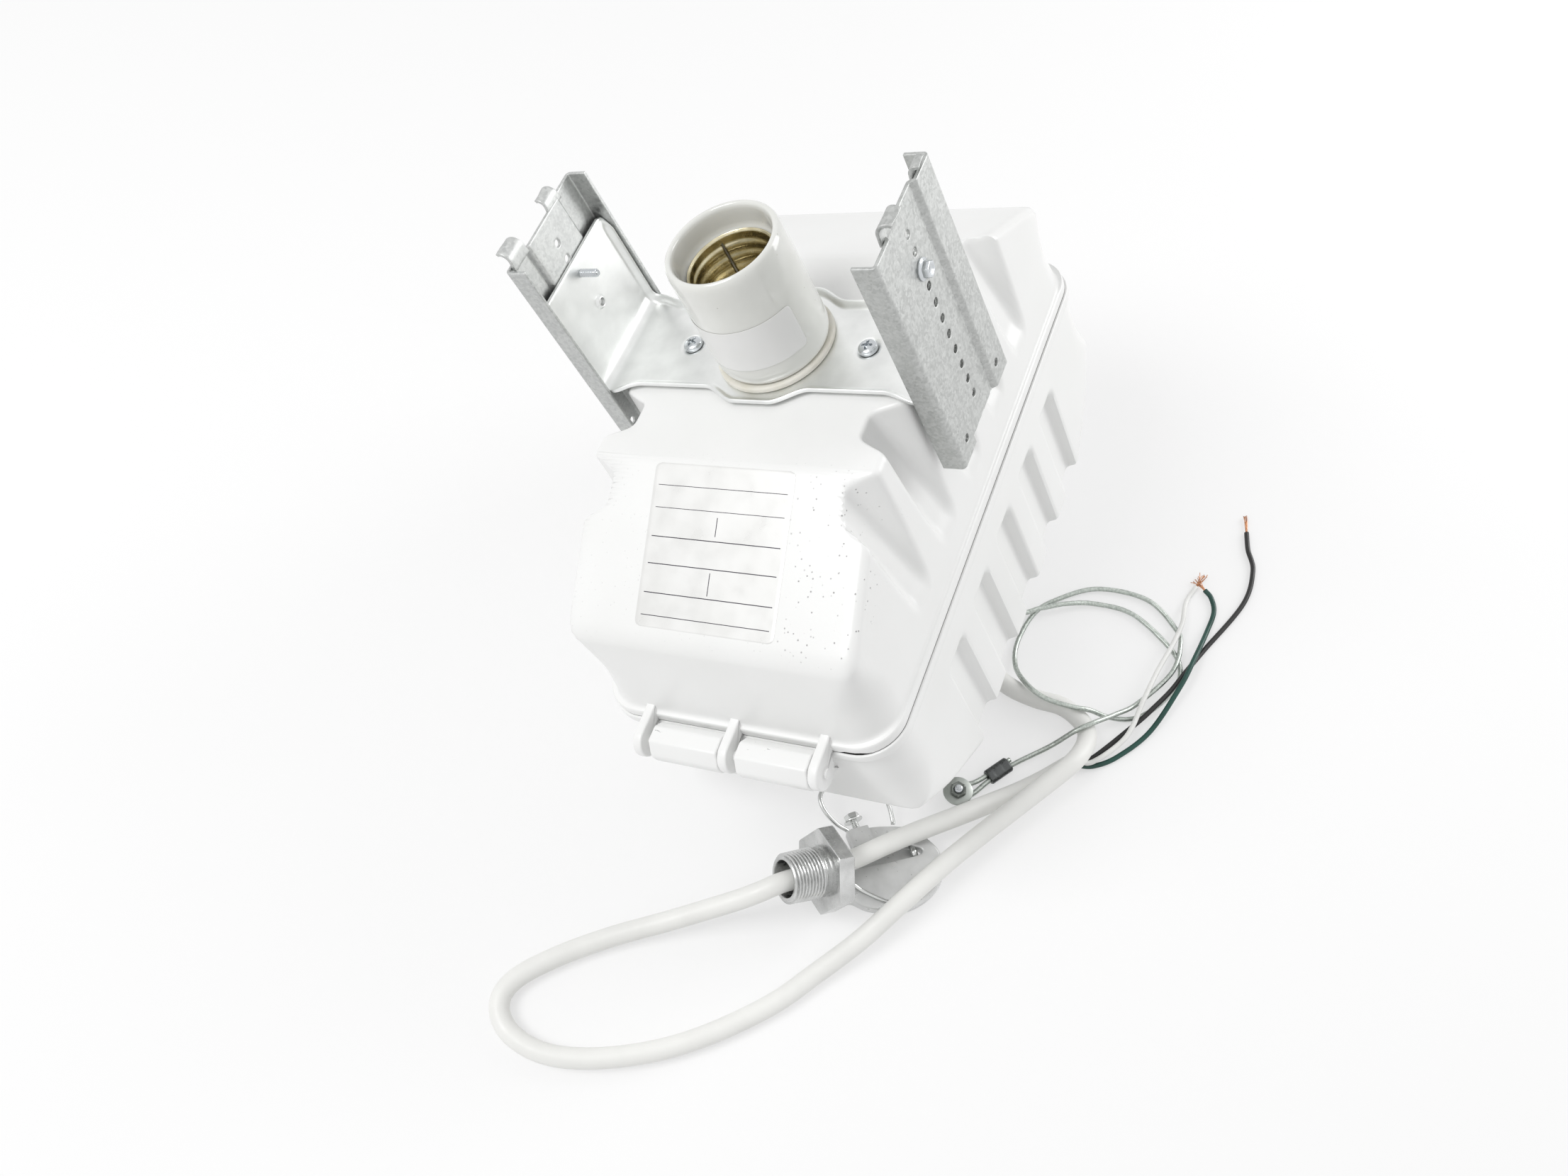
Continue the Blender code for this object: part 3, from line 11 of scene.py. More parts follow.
import bmesh
import bpy
import numpy as np
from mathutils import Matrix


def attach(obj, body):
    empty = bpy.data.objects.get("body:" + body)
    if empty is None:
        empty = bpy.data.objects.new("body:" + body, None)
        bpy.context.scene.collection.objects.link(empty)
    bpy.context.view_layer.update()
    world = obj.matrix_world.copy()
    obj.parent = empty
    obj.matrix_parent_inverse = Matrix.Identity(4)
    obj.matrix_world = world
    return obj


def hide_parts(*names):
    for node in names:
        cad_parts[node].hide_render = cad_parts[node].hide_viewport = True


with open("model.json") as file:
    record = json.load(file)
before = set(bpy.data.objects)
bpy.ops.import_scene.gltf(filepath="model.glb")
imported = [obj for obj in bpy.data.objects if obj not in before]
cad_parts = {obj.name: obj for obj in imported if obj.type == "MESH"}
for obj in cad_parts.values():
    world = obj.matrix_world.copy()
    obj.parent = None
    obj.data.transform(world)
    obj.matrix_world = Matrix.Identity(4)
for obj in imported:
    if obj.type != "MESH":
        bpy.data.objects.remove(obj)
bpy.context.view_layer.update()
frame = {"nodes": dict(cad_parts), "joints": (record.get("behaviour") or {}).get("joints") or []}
nodes = frame["nodes"]

# %% [markdown]
# ## Camera
# The photograph looks steeply down on the lamp head from its hinge end. The lens and the place of
# the camera were solved from sizes that are standard, the socket and the rail holes, so the same
# numbers are written here. Two angles are enough because the picture has no roll.

# %% Camera
PHOTO_WIDTH, PHOTO_HEIGHT = 2212, 1659
camera = bpy.data.objects.new("photo_camera", bpy.data.cameras.new("photo_camera"))
camera.data.sensor_width, camera.data.sensor_fit = 36.0, "HORIZONTAL"
camera.data.lens = 32.70
camera.location = (0.1334, -0.3718, 0.7347)
camera.rotation_euler = (math.radians(27.72), 0.0, math.radians(20.83))
camera.data.clip_start = 0.01
bpy.context.scene.collection.objects.link(camera)
bpy.context.scene.camera = camera
bpy.context.scene.view_settings.view_transform = "Standard"
print("camera frame", PHOTO_WIDTH, "x", PHOTO_HEIGHT, "lens", camera.data.lens, "mm")

# %% [markdown]
# ## Floor and light
# The photograph was taken in a light tent: nearly white all round, with one soft lamp high on the
# left and a sheet of light on the right. A floor that glows a little for the camera stays pale
# and still holds the shadow. The glow also counts for mirror rays, so that the zinc shows the
# same pale room.


# %% Floor and light
def wired(material):
    """The node tree of a material or world, emptied, with a short way to add and join nodes."""
    material.use_nodes = True
    tree = material.node_tree
    tree.nodes.clear()

    def node(kind, **settings):
        """A node of one kind; in_ and a socket's name or number fills or joins that socket."""
        made = tree.nodes.new("ShaderNode" + kind)
        for key, value in settings.items():
            if key.startswith("in_"):
                name = key[3:].replace("_", " ").title() if not key[3:].isdigit() else int(key[3:])
                socket = made.inputs[name]
                if isinstance(value, bpy.types.NodeSocket):
                    tree.links.new(value, socket)
                else:
                    socket.default_value = value
            else:
                setattr(made, key, value)
        return made

    return node


def reckon(node, how, *values):
    """One arithmetic node on the values, in their order."""
    return node("Math", operation=how, **{f"in_{k}": v for k, v in enumerate(values)}).outputs[0]


def seen_directly(node):
    """1 for rays that show the background: from the camera, a mirror or through glass."""
    ray = node("LightPath").outputs
    shown = reckon(node, "MAXIMUM", ray["Is Camera Ray"], ray["Is Glossy Ray"])
    return reckon(node, "MAXIMUM", shown, ray["Is Transmission Ray"])


FLOOR_HALF, FLOOR_GLOW, GLOW_NEAR, GLOW_FAR = 6.0, 0.52, 0.5, 2.2
TENT_LIGHT, PALE_GREY, WHITE_LIGHT = 0.62, (0.90, 0.90, 0.90, 1), (1, 1, 1, 1)
floor_paint = bpy.data.materials.new("pale_floor")
node = wired(floor_paint)
away = node("VectorMath", operation="LENGTH", in_0=node("TexCoord").outputs["Object"])
fade = node(
    "MapRange", in_value=away.outputs["Value"], in_1=GLOW_NEAR, in_2=GLOW_FAR, in_3=FLOOR_GLOW, in_4=1.0
)
glow = reckon(node, "MULTIPLY", seen_directly(node), fade.outputs[0])
matt = node("BsdfDiffuse", in_color=PALE_GREY)
lit = node("Emission", in_color=WHITE_LIGHT, in_strength=1.0)
mixed = node("MixShader", in_0=glow, in_1=matt.outputs[0], in_2=lit.outputs[0])
node("OutputMaterial", in_surface=mixed.outputs[0])
floor_mesh = bpy.data.meshes.new("floor")
corners = [(x * FLOOR_HALF, y * FLOOR_HALF, 0) for x, y in ((-1, -1), (1, -1), (1, 1), (-1, 1))]
floor_mesh.from_pydata(corners, [], [(0, 1, 2, 3)])
floor = bpy.data.objects.new("floor", floor_mesh)
floor_mesh.materials.append(floor_paint)
bpy.context.scene.collection.objects.link(floor)

room = bpy.data.worlds.new("light_tent")
bpy.context.scene.world = room
node = wired(room)
strength = node("MapRange", in_value=seen_directly(node), in_3=TENT_LIGHT, in_4=1.0)
sky = node("Background", in_color=WHITE_LIGHT, in_strength=strength.outputs[0])
node("OutputWorld", in_surface=sky.outputs[0])


def lamp(name, place, aim, size, power):
    """A square soft lamp that looks at a point."""
    made = bpy.data.objects.new(name, bpy.data.lights.new(name, "AREA"))
    made.data.size, made.data.energy = size, power
    away = np.array(place, float) - np.array(aim, float)
    flat = math.hypot(away[0], away[1])
    made.location = place
    made.rotation_euler = (math.atan2(flat, away[2]), 0.0, math.atan2(away[0], -away[1]))
    bpy.context.scene.collection.objects.link(made)


lamp("key_lamp", place=(-0.75, -0.55, 1.35), aim=(0.0, 0.0, 0.12), size=0.7, power=11.0)
lamp("rim_lamp", place=(0.9, 0.9, 0.9), aim=(0.0, 0.0, 0.15), size=0.6, power=4.0)
lamp("side_lamp", place=(1.0, 0.88, 0.42), aim=(0.10, -0.05, 0.14), size=0.6, power=3.8)

# %% [markdown]
# ## The housing's own frame
# The lamp head leans on its hub, so nothing on it is square to the floor. It is easier to draw it
# in the frame of its hinge, in millimetres: X along the hinge, Y to the far end, Z out of the
# socket. The hinge joint of the record says where that frame lies, and one function lays points down.


# %% The housing's own frame
def unit(v):
    """Vectors scaled to length one."""
    return np.asarray(v, float) / np.linalg.norm(v, axis=-1, keepdims=True)


MM = 0.001
hinge = next(j for j in frame["joints"] if j["name"] == "housing_hinge")
HINGE_AT, ACROSS = np.array(hinge["pos_m"]), unit(hinge["axis"])
ALONG = np.array([0.0, 1.0, 0.0])
OUT = np.cross(ACROSS, ALONG)


def laid(points):
    """Housing millimetres to floor metres: the hinge point plus each coordinate times its axis."""
    p = np.asarray(points, float) * MM
    return HINGE_AT + p[..., 0:1] * ACROSS + p[..., 1:2] * ALONG + p[..., 2:3] * OUT


def grid_faces(rows, cols, wrap_rows=False, wrap_cols=False):
    """Quads of a grid of points, and for each corner its unwrapped (column, row) number."""
    down, along = np.arange(rows - (not wrap_rows)), np.arange(cols - (not wrap_cols))
    i, j = np.meshgrid(down, along, indexing="ij")
    steps = ((0, 0), (0, 1), (1, 1), (1, 0))
    faces = np.stack([((i + di) % rows) * cols + (j + dj) % cols for di, dj in steps], -1)
    places = np.stack([np.stack([j + dj, i + di], -1) for di, dj in steps], -2)
    return faces.reshape(-1, 4), places.reshape(-1, 2)


def piece(
    name, body, finish, *grids, slot=None, stands_for=(), sharp=None, marks=None, wall=0.0, edge=0.0
):
    """One mesh from grids in metres: (points, wrap rows, wrap columns, quads to keep) each."""
    points, faces, places, start = [], [], [], 0
    for grid, wrap_rows, wrap_cols, *kept in grids:
        rows, cols = grid.shape[:2]
        quads, at = grid_faces(rows, cols, wrap_rows, wrap_cols)
        at = at / np.array([cols if wrap_cols else cols - 1, rows if wrap_rows else rows - 1])
        chosen = kept[0].ravel() if kept else np.ones(len(quads), bool)
        points.append(grid.reshape(-1, 3))
        faces.append(quads[chosen] + start)
        places.append(at.reshape(-1, 4, 2)[chosen].reshape(-1, 2))
        start += rows * cols
    points, faces, places = np.concatenate(points), np.concatenate(faces), np.concatenate(places)
    mesh = bpy.data.meshes.new(name)
    mesh.vertices.add(len(points))
    mesh.vertices.foreach_set("co", points.astype(np.float32).ravel())
    mesh.loops.add(faces.size)
    mesh.loops.foreach_set("vertex_index", faces.ravel().astype(np.int32))
    mesh.polygons.add(len(faces))
    mesh.polygons.foreach_set("loop_start", np.arange(0, faces.size, 4, dtype=np.int32))
    mesh.polygons.foreach_set("loop_total", np.full(len(faces), 4, np.int32))
    mesh.update(calc_edges=True)
    mesh.uv_layers.new(name="UVMap").data.foreach_set("uv", places.astype(np.float32).ravel())
    for key, values in (marks or {}).items():
        mark = mesh.attributes.new(key, "FLOAT", "POINT")
        mark.data.foreach_set("value", np.asarray(values, np.float32).ravel())
    tidy = bmesh.new()
    tidy.from_mesh(mesh)
    bmesh.ops.delete(tidy, geom=[v for v in tidy.verts if not v.link_faces], context="VERTS")
    bmesh.ops.remove_doubles(tidy, verts=tidy.verts[:], dist=1e-6)
    bmesh.ops.dissolve_degenerate(tidy, edges=tidy.edges[:], dist=1e-7)
    bmesh.ops.recalc_face_normals(tidy, faces=tidy.faces[:])
    tidy.to_mesh(mesh)
    tidy.free()
    mesh.shade_smooth()
    if sharp:
        mesh.set_sharp_from_angle(angle=math.radians(sharp))
    mesh.materials.append(finish)
    made = bpy.data.objects.new(name, mesh)
    bpy.context.scene.collection.objects.link(made)
    if wall:
        sheet = made.modifiers.new("sheet", "SOLIDIFY")
        sheet.thickness, sheet.offset, sheet.use_even_offset = wall, 0.0, True
    if edge:
        worn = made.modifiers.new("worn_edge", "BEVEL")
        worn.width, worn.segments = edge, 2
        worn.limit_method, worn.angle_limit = "ANGLE", math.radians(50)
    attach(made, body)
    if stands_for:
        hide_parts(*stands_for)
    print(name, len(mesh.polygons), "faces")
    return made


def wrapped(points):
    """A grid whose columns close on themselves, as round shapes do."""
    return points, False, True


def laid_round(points):
    """A wrapped grid of housing millimetres."""
    return wrapped(laid(points))


lean = math.degrees(math.asin(ACROSS[2]))
print("hinge at", np.round(HINGE_AT, 4), "lean", round(lean, 2), "degrees")

# %% [markdown]
# ## Finishes
# Every finish is a small tree of nodes round one shader. Noise on Object coordinates, which are
# metres here, gives cloud, grain and wear their real size. A finish says its grain in marks per
# metre: orange peel on powder coat is about a millimetre, zinc spangle one or two.


# %% Finishes
def finish(name, colour, metallic=0.0, rough=0.5, **sockets):
    """A named shader on its own output; returns the material, the node maker and the shader."""
    made = bpy.data.materials.new(name)
    node = wired(made)
    shader = node("BsdfPrincipled", in_base_color=(*colour, 1), in_metallic=metallic, in_roughness=rough)
    for key, value in sockets.items():
        shader.inputs[key.replace("_", " ").title()].default_value = value
    node("OutputMaterial", in_surface=shader.outputs[0])
    made.diffuse_color = (*colour, 1)
    return made, node, shader


def set_to(shader, socket, value):
    """Joins a value to a socket of the shader."""
    shader.id_data.links.new(value, shader.inputs[socket])


def noise(node, scale, detail=3.0, stretch=(1, 1, 1)):
    """Noise from 0 to 1, in marks per metre."""
    at = node("TexCoord").outputs["Object"]
    if stretch != (1, 1, 1):
        at = node("Mapping", in_vector=at, in_scale=stretch).outputs[0]
    return node("TexNoise", in_vector=at, in_scale=scale, in_detail=detail).outputs["Fac"]


def ramp(node, value, low, high, at=(0.3, 0.7)):
    """Straight-line change of a number from low to high while value goes between two places."""
    made = node("MapRange", in_value=value)
    for k, v in enumerate((*at, low, high)):
        made.inputs[k + 1].default_value = v
    return made.outputs[0]


def tint(node, value, dark, light, at=(0.3, 0.7)):
    """A colour between two, by a number."""
    made = node("ValToRGB", in_fac=value)
    made.color_ramp.elements[0].position, made.color_ramp.elements[1].position = at
    made.color_ramp.elements[0].color, made.color_ramp.elements[1].color = (*dark, 1), (*light, 1)
    return made.outputs["Color"]


def relief(node, shader, height, depth, strength=1.0):
    """Bump whose full height is depth metres."""
    made = node("Bump", in_height=height, in_distance=depth, in_strength=strength)
    set_to(shader, "Normal", made.outputs[0])


def covered(node, share, under, over):
    """One colour laid over another by share."""
    return node("Mix", data_type="RGBA", in_0=share, in_6=under, in_7=(*over, 1)).outputs[2]


def from_dots(node, scale):
    """Way to the nearest of scattered dots, in units of their spacing."""
    at = node("TexCoord").outputs["Object"]
    return node("TexVoronoi", in_vector=at, in_scale=scale).outputs["Distance"]


def cast_white():
    """White powder coat: cloudy off-white, orange peel, and raised specks where a mark says so, darkened
    with painted shade.
    """
    made, node, shader = finish(
        "white_powder_coat", (0.85, 0.853, 0.845), rough=0.32, coat_weight=0.25, coat_roughness=0.2
    )
    cloud = noise(node, 14, 4)
    shade = tint(node, cloud, (0.83, 0.833, 0.822), (0.87, 0.873, 0.867))
    dot = ramp(node, from_dots(node, 330.0), 1.0, 0.0, (0.07, 0.16))
    sparse = ramp(node, noise(node, 120, 2), 0.0, 1.0, (0.40, 0.48))
    speck_zone = node("Attribute", attribute_name="speck_zone").outputs["Fac"]
    speck = reckon(node, "MULTIPLY", reckon(node, "MULTIPLY", dot, sparse), speck_zone)
    scuff = node("Attribute", attribute_name="scuff").outputs["Fac"]
    streak = ramp(node, noise(node, 260, 3, (0.3, 1, 1)), 0.0, 1.0, (0.69, 0.72))
    dark = reckon(node, "MULTIPLY", streak, scuff)
    # Scuffs are real wear; the dark colour of the raised specks is painted shade.
    worn = reckon(node, "MAXIMUM", dark, reckon(node, "MULTIPLY", speck, 0.6))
    set_to(shader, "Base Color", covered(node, worn, shade, (0.16, 0.15, 0.15)))
    set_to(shader, "Roughness", ramp(node, cloud, 0.28, 0.38))
    peel = reckon(node, "MULTIPLY", noise(node, 650, 2), 0.12)
    relief(node, shader, reckon(node, "ADD", peel, speck), 0.0004, 0.5)
    return made


def zinc(name, colour, rough, scratch=0.06, cloudy=0.14, drawn=0.5):
    """Bright zinc plate: faint clouds and fine scratches."""
    made, node, shader = finish(name, colour, 1.0, rough)
    cloud = noise(node, 60, 4)
    light = tuple(min(1.0, c * 1.10) for c in colour)
    set_to(shader, "Base Color", tint(node, cloud, tuple(c * (1 - cloudy) for c in colour), light))
    set_to(shader, "Roughness", ramp(node, noise(node, 220, 3), rough - scratch, rough + 1.6 * scratch))
    relief(node, shader, noise(node, 900, 2, (1, 0.12, 1)), 0.00004, drawn)
    return made


def galvanised(name, dark, light):
    """Hot-dip zinc: crystals one or two millimetres across, clouded, dull and a little rough."""
    made, node, shader = finish(name, light, 1.0, 0.46)
    at = node("TexCoord").outputs["Object"]
    wander = node("TexNoise", in_vector=at, in_scale=420.0).outputs["Color"]
    bent = node("Mix", data_type="VECTOR", in_0=0.0015, in_4=at, in_5=wander)
    cells = node("TexVoronoi", in_vector=bent.outputs[1], in_scale=760.0)
    value = node("SeparateColor", in_color=cells.outputs["Color"]).outputs[0]
    grain = reckon(node, "MULTIPLY_ADD", noise(node, 900, 4), 1.2, value)
    cloud = reckon(node, "MULTIPLY_ADD", noise(node, 70, 4), 0.8, grain)
    share = ramp(node, cloud, 0.0, 1.0, (0.6, 2.1))
    set_to(shader, "Base Color", tint(node, share, dark, light, (0.0, 1.0)))
    set_to(shader, "Roughness", ramp(node, value, 0.40, 0.54, (0.0, 1.0)))
    relief(node, shader, grain, 0.00006, 0.3)
    return made


def porcelain():
    """Glazed porcelain: nearly white, a few dark firing specks, a wet gloss."""
    made, node, shader = finish(
        "glazed_porcelain", (0.74, 0.745, 0.71), rough=0.16, coat_weight=0.6, coat_roughness=0.06
    )
    shade = tint(node, noise(node, 40, 3), (0.70, 0.705, 0.67), (0.77, 0.775, 0.745))
    speck = ramp(node, from_dots(node, 130.0), 0.55, 0.0, (0.02, 0.05))
    set_to(shader, "Base Color", covered(node, speck, shade, (0.30, 0.27, 0.22)))
    relief(node, shader, noise(node, 90, 2), 0.00018, 0.25)
    return made


def cast_aluminium(name, dark, light, rough, pitted=0.45, bare=1.0):
    """Sand-blasted casting, tumbled bright on its edges; the last number is its metallic share, lowered on
    the copy that is painted lighter.
    """
    made, node, shader = finish(name, light, bare, rough)
    set_to(shader, "Base Color", tint(node, noise(node, 90, 5), dark, light))
    set_to(shader, "Roughness", ramp(node, noise(node, 300, 3), rough - 0.08, rough + 0.1))
    relief(node, shader, noise(node, 1400, 1), 0.00008, pitted)
    return made


def soft_plastic(name, colour, rough=0.42, grime=0.9):
    """Extruded PVC: satin, a little grime, faint draw marks."""
    made, node, shader = finish(name, colour, rough=rough)
    dirty = tuple(c * grime for c in colour)
    set_to(shader, "Base Color", tint(node, noise(node, 55, 5), dirty, colour, (0.32, 0.6)))
    set_to(shader, "Roughness", ramp(node, noise(node, 240, 3), rough - 0.06, rough + 0.1))
    relief(node, shader, noise(node, 800, 2), 0.00005, 0.3)
    return made


def plain_metal(name, dark, light, rough, grain):
    """Bare metal with clouds of two tones."""
    made, node, shader = finish(name, light, 1.0, rough)
    set_to(shader, "Base Color", tint(node, noise(node, grain, 4), dark, light))
    set_to(shader, "Roughness", ramp(node, noise(node, 2 * grain, 3), rough - 0.06, rough + 0.1))
    return made


WHITE = cast_white()
BRACKET_ZINC = zinc(
    "bright_zinc_sheet", (0.80, 0.81, 0.80), rough=0.36, scratch=0.03, cloudy=0.06, drawn=0.12
)
SCREW_ZINC = zinc("blue_zinc_screw", (0.60, 0.625, 0.645), rough=0.22, scratch=0.04)
# Both rails are one galvanised sheet. The left rail's copy is painted lighter and the right rail's darker,
# to even out how the lamps fall on each.
SPANGLE = galvanised("galvanised_sheet", (0.39, 0.40, 0.39), (0.56, 0.57, 0.56))
SPANGLE_PAINTED_LIGHTER = galvanised("galvanised_sheet_painted_lighter", (0.44, 0.45, 0.445), (0.62, 0.63, 0.62))
PORCELAIN = porcelain()
ALUMINIUM = cast_aluminium("drawn_aluminium", (0.48, 0.485, 0.48), (0.66, 0.67, 0.665), rough=0.36)
HOOK_METAL = cast_aluminium(
    "tumbled_hook_casting", (0.46, 0.465, 0.46), (0.68, 0.685, 0.68), rough=0.24, pitted=0.06
)
# The hook arm is the same casting as the nipple; this copy has lighter colours and less metal, painted
# lighter for the brighter light on the arm.
ARM_METAL_PAINTED_LIGHTER = cast_aluminium(
    "chalky_hook_casting", (0.60, 0.605, 0.60), (0.74, 0.745, 0.74), rough=0.34, pitted=0.03, bare=0.40
)
NICKEL = plain_metal("nickel_brass", (0.52, 0.46, 0.30), (0.70, 0.64, 0.46), rough=0.20, grain=160)
COPPER = plain_metal("bright_copper", (0.36, 0.16, 0.085), (0.66, 0.35, 0.20), rough=0.34, grain=700)
JACKET = soft_plastic("white_cord_jacket", (0.85, 0.85, 0.825), rough=0.42, grime=0.96)
WIRE_WHITE = soft_plastic("white_wire_skin", (0.86, 0.86, 0.84))
WIRE_BLACK = soft_plastic("black_wire_skin", (0.014, 0.014, 0.014), rough=0.36, grime=0.6)
WIRE_GREEN = soft_plastic("green_wire_skin", (0.006, 0.060, 0.045), rough=0.36, grime=0.7)
RUBBER = soft_plastic("black_rubber", (0.020, 0.020, 0.020), rough=0.48, grime=0.6)
GREY_PLASTIC = soft_plastic("grey_moulding", (0.16, 0.16, 0.17), rough=0.5, grime=0.8)
IRON = plain_metal("varnished_iron", (0.05, 0.045, 0.04), (0.13, 0.12, 0.11), rough=0.42, grain=240)
WINDING = plain_metal(
    "varnished_winding", (0.20, 0.07, 0.025), (0.36, 0.15, 0.06), rough=0.35, grain=500
)
print("finishes", len([m for m in bpy.data.materials if m.use_nodes]))

# %% [markdown]
# ## Cord, wires and cable
# The supply cord leaves the hub under the housing, lies in one long loop on the floor, comes back
# through the hook's bored nipple and ends in three stripped wires. Each cord is one tube: a ring of
# points carried along a smooth path without twisting. The routes repeat the solid model's points.


# %% Tubes along a path
def smooth(points, per):
    """Catmull-Rom curve: cubic pieces that pass through every point with a shared slope."""
    p = np.array(points, float)
    p = np.vstack([2 * p[0] - p[1], p, 2 * p[-1] - p[-2]])
    t = np.arange(per)[None, :, None] / per
    a, b, c, d = (p[i : len(p) - 3 + i, None, :] for i in range(4))
    bow, twist = 2 * a - 5 * b + 4 * c - d, 3 * b - a - 3 * c + d
    curve = 0.5 * (2 * b + (c - a) * t + bow * t**2 + twist * t**3)
    return np.vstack([curve.reshape(-1, 3), p[-2]])


def carried(path):
    """Side and up directions along a path, each turned from the last by the least rotation."""
    ahead = unit(np.gradient(path, axis=0))
    side = np.cross(ahead[0], (0.0, 0.0, 1.0))
    if np.linalg.norm(side) < 1e-3:
        side = np.cross(ahead[0], (0.0, 1.0, 0.0))
    sides = []
    for way in ahead:
        side = unit(side - way * (side @ way))
        sides.append(side)
    sides = np.array(sides)
    return sides, np.cross(sides, ahead)


def run_along(path):
    """Way from the first point of a path to each of its points."""
    return np.concatenate([[0], np.cumsum(np.linalg.norm(np.diff(path, axis=0), axis=1))])


def path_length(path):
    """Whole way along a path."""
    return float(run_along(path)[-1])


def ring_angles(count):
    """Even angles once round."""
    return np.linspace(0, 2 * np.pi, count, endpoint=False)


def tube(path, radius, ring=16, lay=None):
    """Rings of centre + r (cos a side + sin a up), closed at both ends; lay changes r by a and run."""
    side, up = carried(path)
    angle = ring_angles(ring)[:, None]
    r = radius * lay(angle[:, 0], run_along(path)[:, None])[..., None] if lay else radius
    skin = path[:, None] + r * (np.cos(angle) * side[:, None] + np.sin(angle) * up[:, None])
    first, last = (np.broadcast_to(path[k], (1, ring, 3)) for k in (0, -1))
    return np.concatenate([first, skin, last])


FLOOR_SHIFT = np.array([*HINGE_AT[:2], 0.0])


def on_floor(*points):
    """Millimetres of the route drawing, measured from under the hinge, to metres on the floor."""
    return np.array(points, float) * MM + FLOOR_SHIFT


print("tube helpers ready")

# %% Supply cord
UPPER_DEPTH, HUB_HEIGHT, HUB_Y, WALL = 91.0, 25.3, 159.8, 4.0
CORD_RADIUS = 0.00525
inside, exit_z = WALL - UPPER_DEPTH, -UPPER_DEPTH - HUB_HEIGHT
from_hub = laid([
    (0, HUB_Y, inside + 11), (0, HUB_Y, inside - 1), (0, HUB_Y, inside - 10),
    (1.2, HUB_Y, exit_z + 10.5), (4.0, HUB_Y, exit_z + 3),
])
loop = on_floor(
    (55.0, 157.8, 7.2), (63.5, 155.0, 5.6), (85.0, 143.0, 5.6), (108.7, 131.4, 5.6),
    (126.3, 128.8, 5.6), (141.5, 129.5, 5.6), (152.6, 125.5, 5.7), (158.6, 118.5, 7.6),
    (159.5, 108.6, 13.0), (156.6, 96.6, 18.2), (150.4, 84.8, 19.2), (133.8, 58.2, 18.8),
    (121.8, 39.0, 18.4), (108.6, 17.2, 17.2), (93.8, -10.2, 15.6), (80.7, -33.7, 10.6),
    (64.9, -56.9, 6.4), (48.8, -79.8, 5.6), (23.0, -105.8, 5.6), (-2.1, -123.8, 5.6),
    (-29.3, -136.6, 5.6), (-50.8, -140.8, 5.6), (-69.0, -136.8, 5.6), (-78.2, -126.2, 5.6),
    (-75.9, -113.0, 5.6), (-61.2, -95.5, 5.6), (-39.5, -76.7, 6.4), (-12.9, -58.6, 11.5),
    (14.9, -41.3, 24.0), (26.1, -33.5, 29.6), (34.9, -25.7, 31.6), (45.4, -16.3, 27.7),
    (56.5, -6.0, 23.4), (65.1, 2.8, 20.9), (77.4, 16.3, 18.4), (91.7, 30.5, 17.0),
    (107.2, 45.5, 14.2), (120.3, 59.2, 9.6), (131.9, 71.1, 6.2), (142.7, 82.6, 5.6),
    (150.7, 92.3, 5.6), (156.7, 99.7, 5.6),
)
cord_path = smooth(np.vstack([from_hub, loop]), 10)
cord = piece(
    "supply_cord", "upper_half", JACKET, wrapped(tube(cord_path, CORD_RADIUS, 28)),
    slot="white_pvc", stands_for=["cord"],
)

# %% Stripped wires
WIRE_RADIUS = 0.0014
wire_routes = {
    "black_wire": (
        WIRE_BLACK, "black_pvc",
        on_floor(
            (158.2, 102.6, 5.0), (165.5, 107.0, 1.8), (183.0, 134.6, 4.2), (190.0, 147.5, 5.2),
            (196.2, 160.5, 5.2), (201.0, 174.0, 4.6), (207.9, 192.5, 1.8), (222.6, 230.0, 1.8),
            (223.3, 253.7, 1.8), (217.6, 266.7, 1.8), (214.3, 277.9, 1.8),
        ),
    ),
    "white_wire": (
        WIRE_WHITE, "white_pvc",
        on_floor(
            (158.6, 100.6, 7.0), (167.0, 104.6, 5.2), (179.6, 124.0, 6.8), (183.0, 148.0, 8.6),
            (186.0, 168.0, 8.4), (189.9, 186.4, 7.6), (192.2, 203.0, 5.8), (191.6, 219.6, 1.8),
            (194.7, 231.6, 1.8),
        ),
    ),
    "green_wire": (
        WIRE_GREEN, "green_pvc",
        on_floor(
            (159.2, 99.6, 3.6), (168.0, 103.4, 1.8), (178.5, 113.0, 1.8), (191.5, 133.4, 3.0),
            (200.0, 162.7, 8.0), (203.6, 183.0, 7.6), (207.0, 205.0, 2.4), (208.0, 219.0, 1.8),
            (204.5, 227.5, 1.8), (199.9, 231.3, 1.8),
        ),
    ),
}
wire_paths = {name: smooth(route, 12) for name, (_, _, route) in wire_routes.items()}
wires = {
    name: piece(
        name + "_skin", "upper_half", paint, wrapped(tube(wire_paths[name], WIRE_RADIUS)),
        slot=slot, stands_for=[name],
    )
    for name, (paint, slot, _) in wire_routes.items()
}
print("wires", {name: round(path_length(path), 3) for name, path in wire_paths.items()})

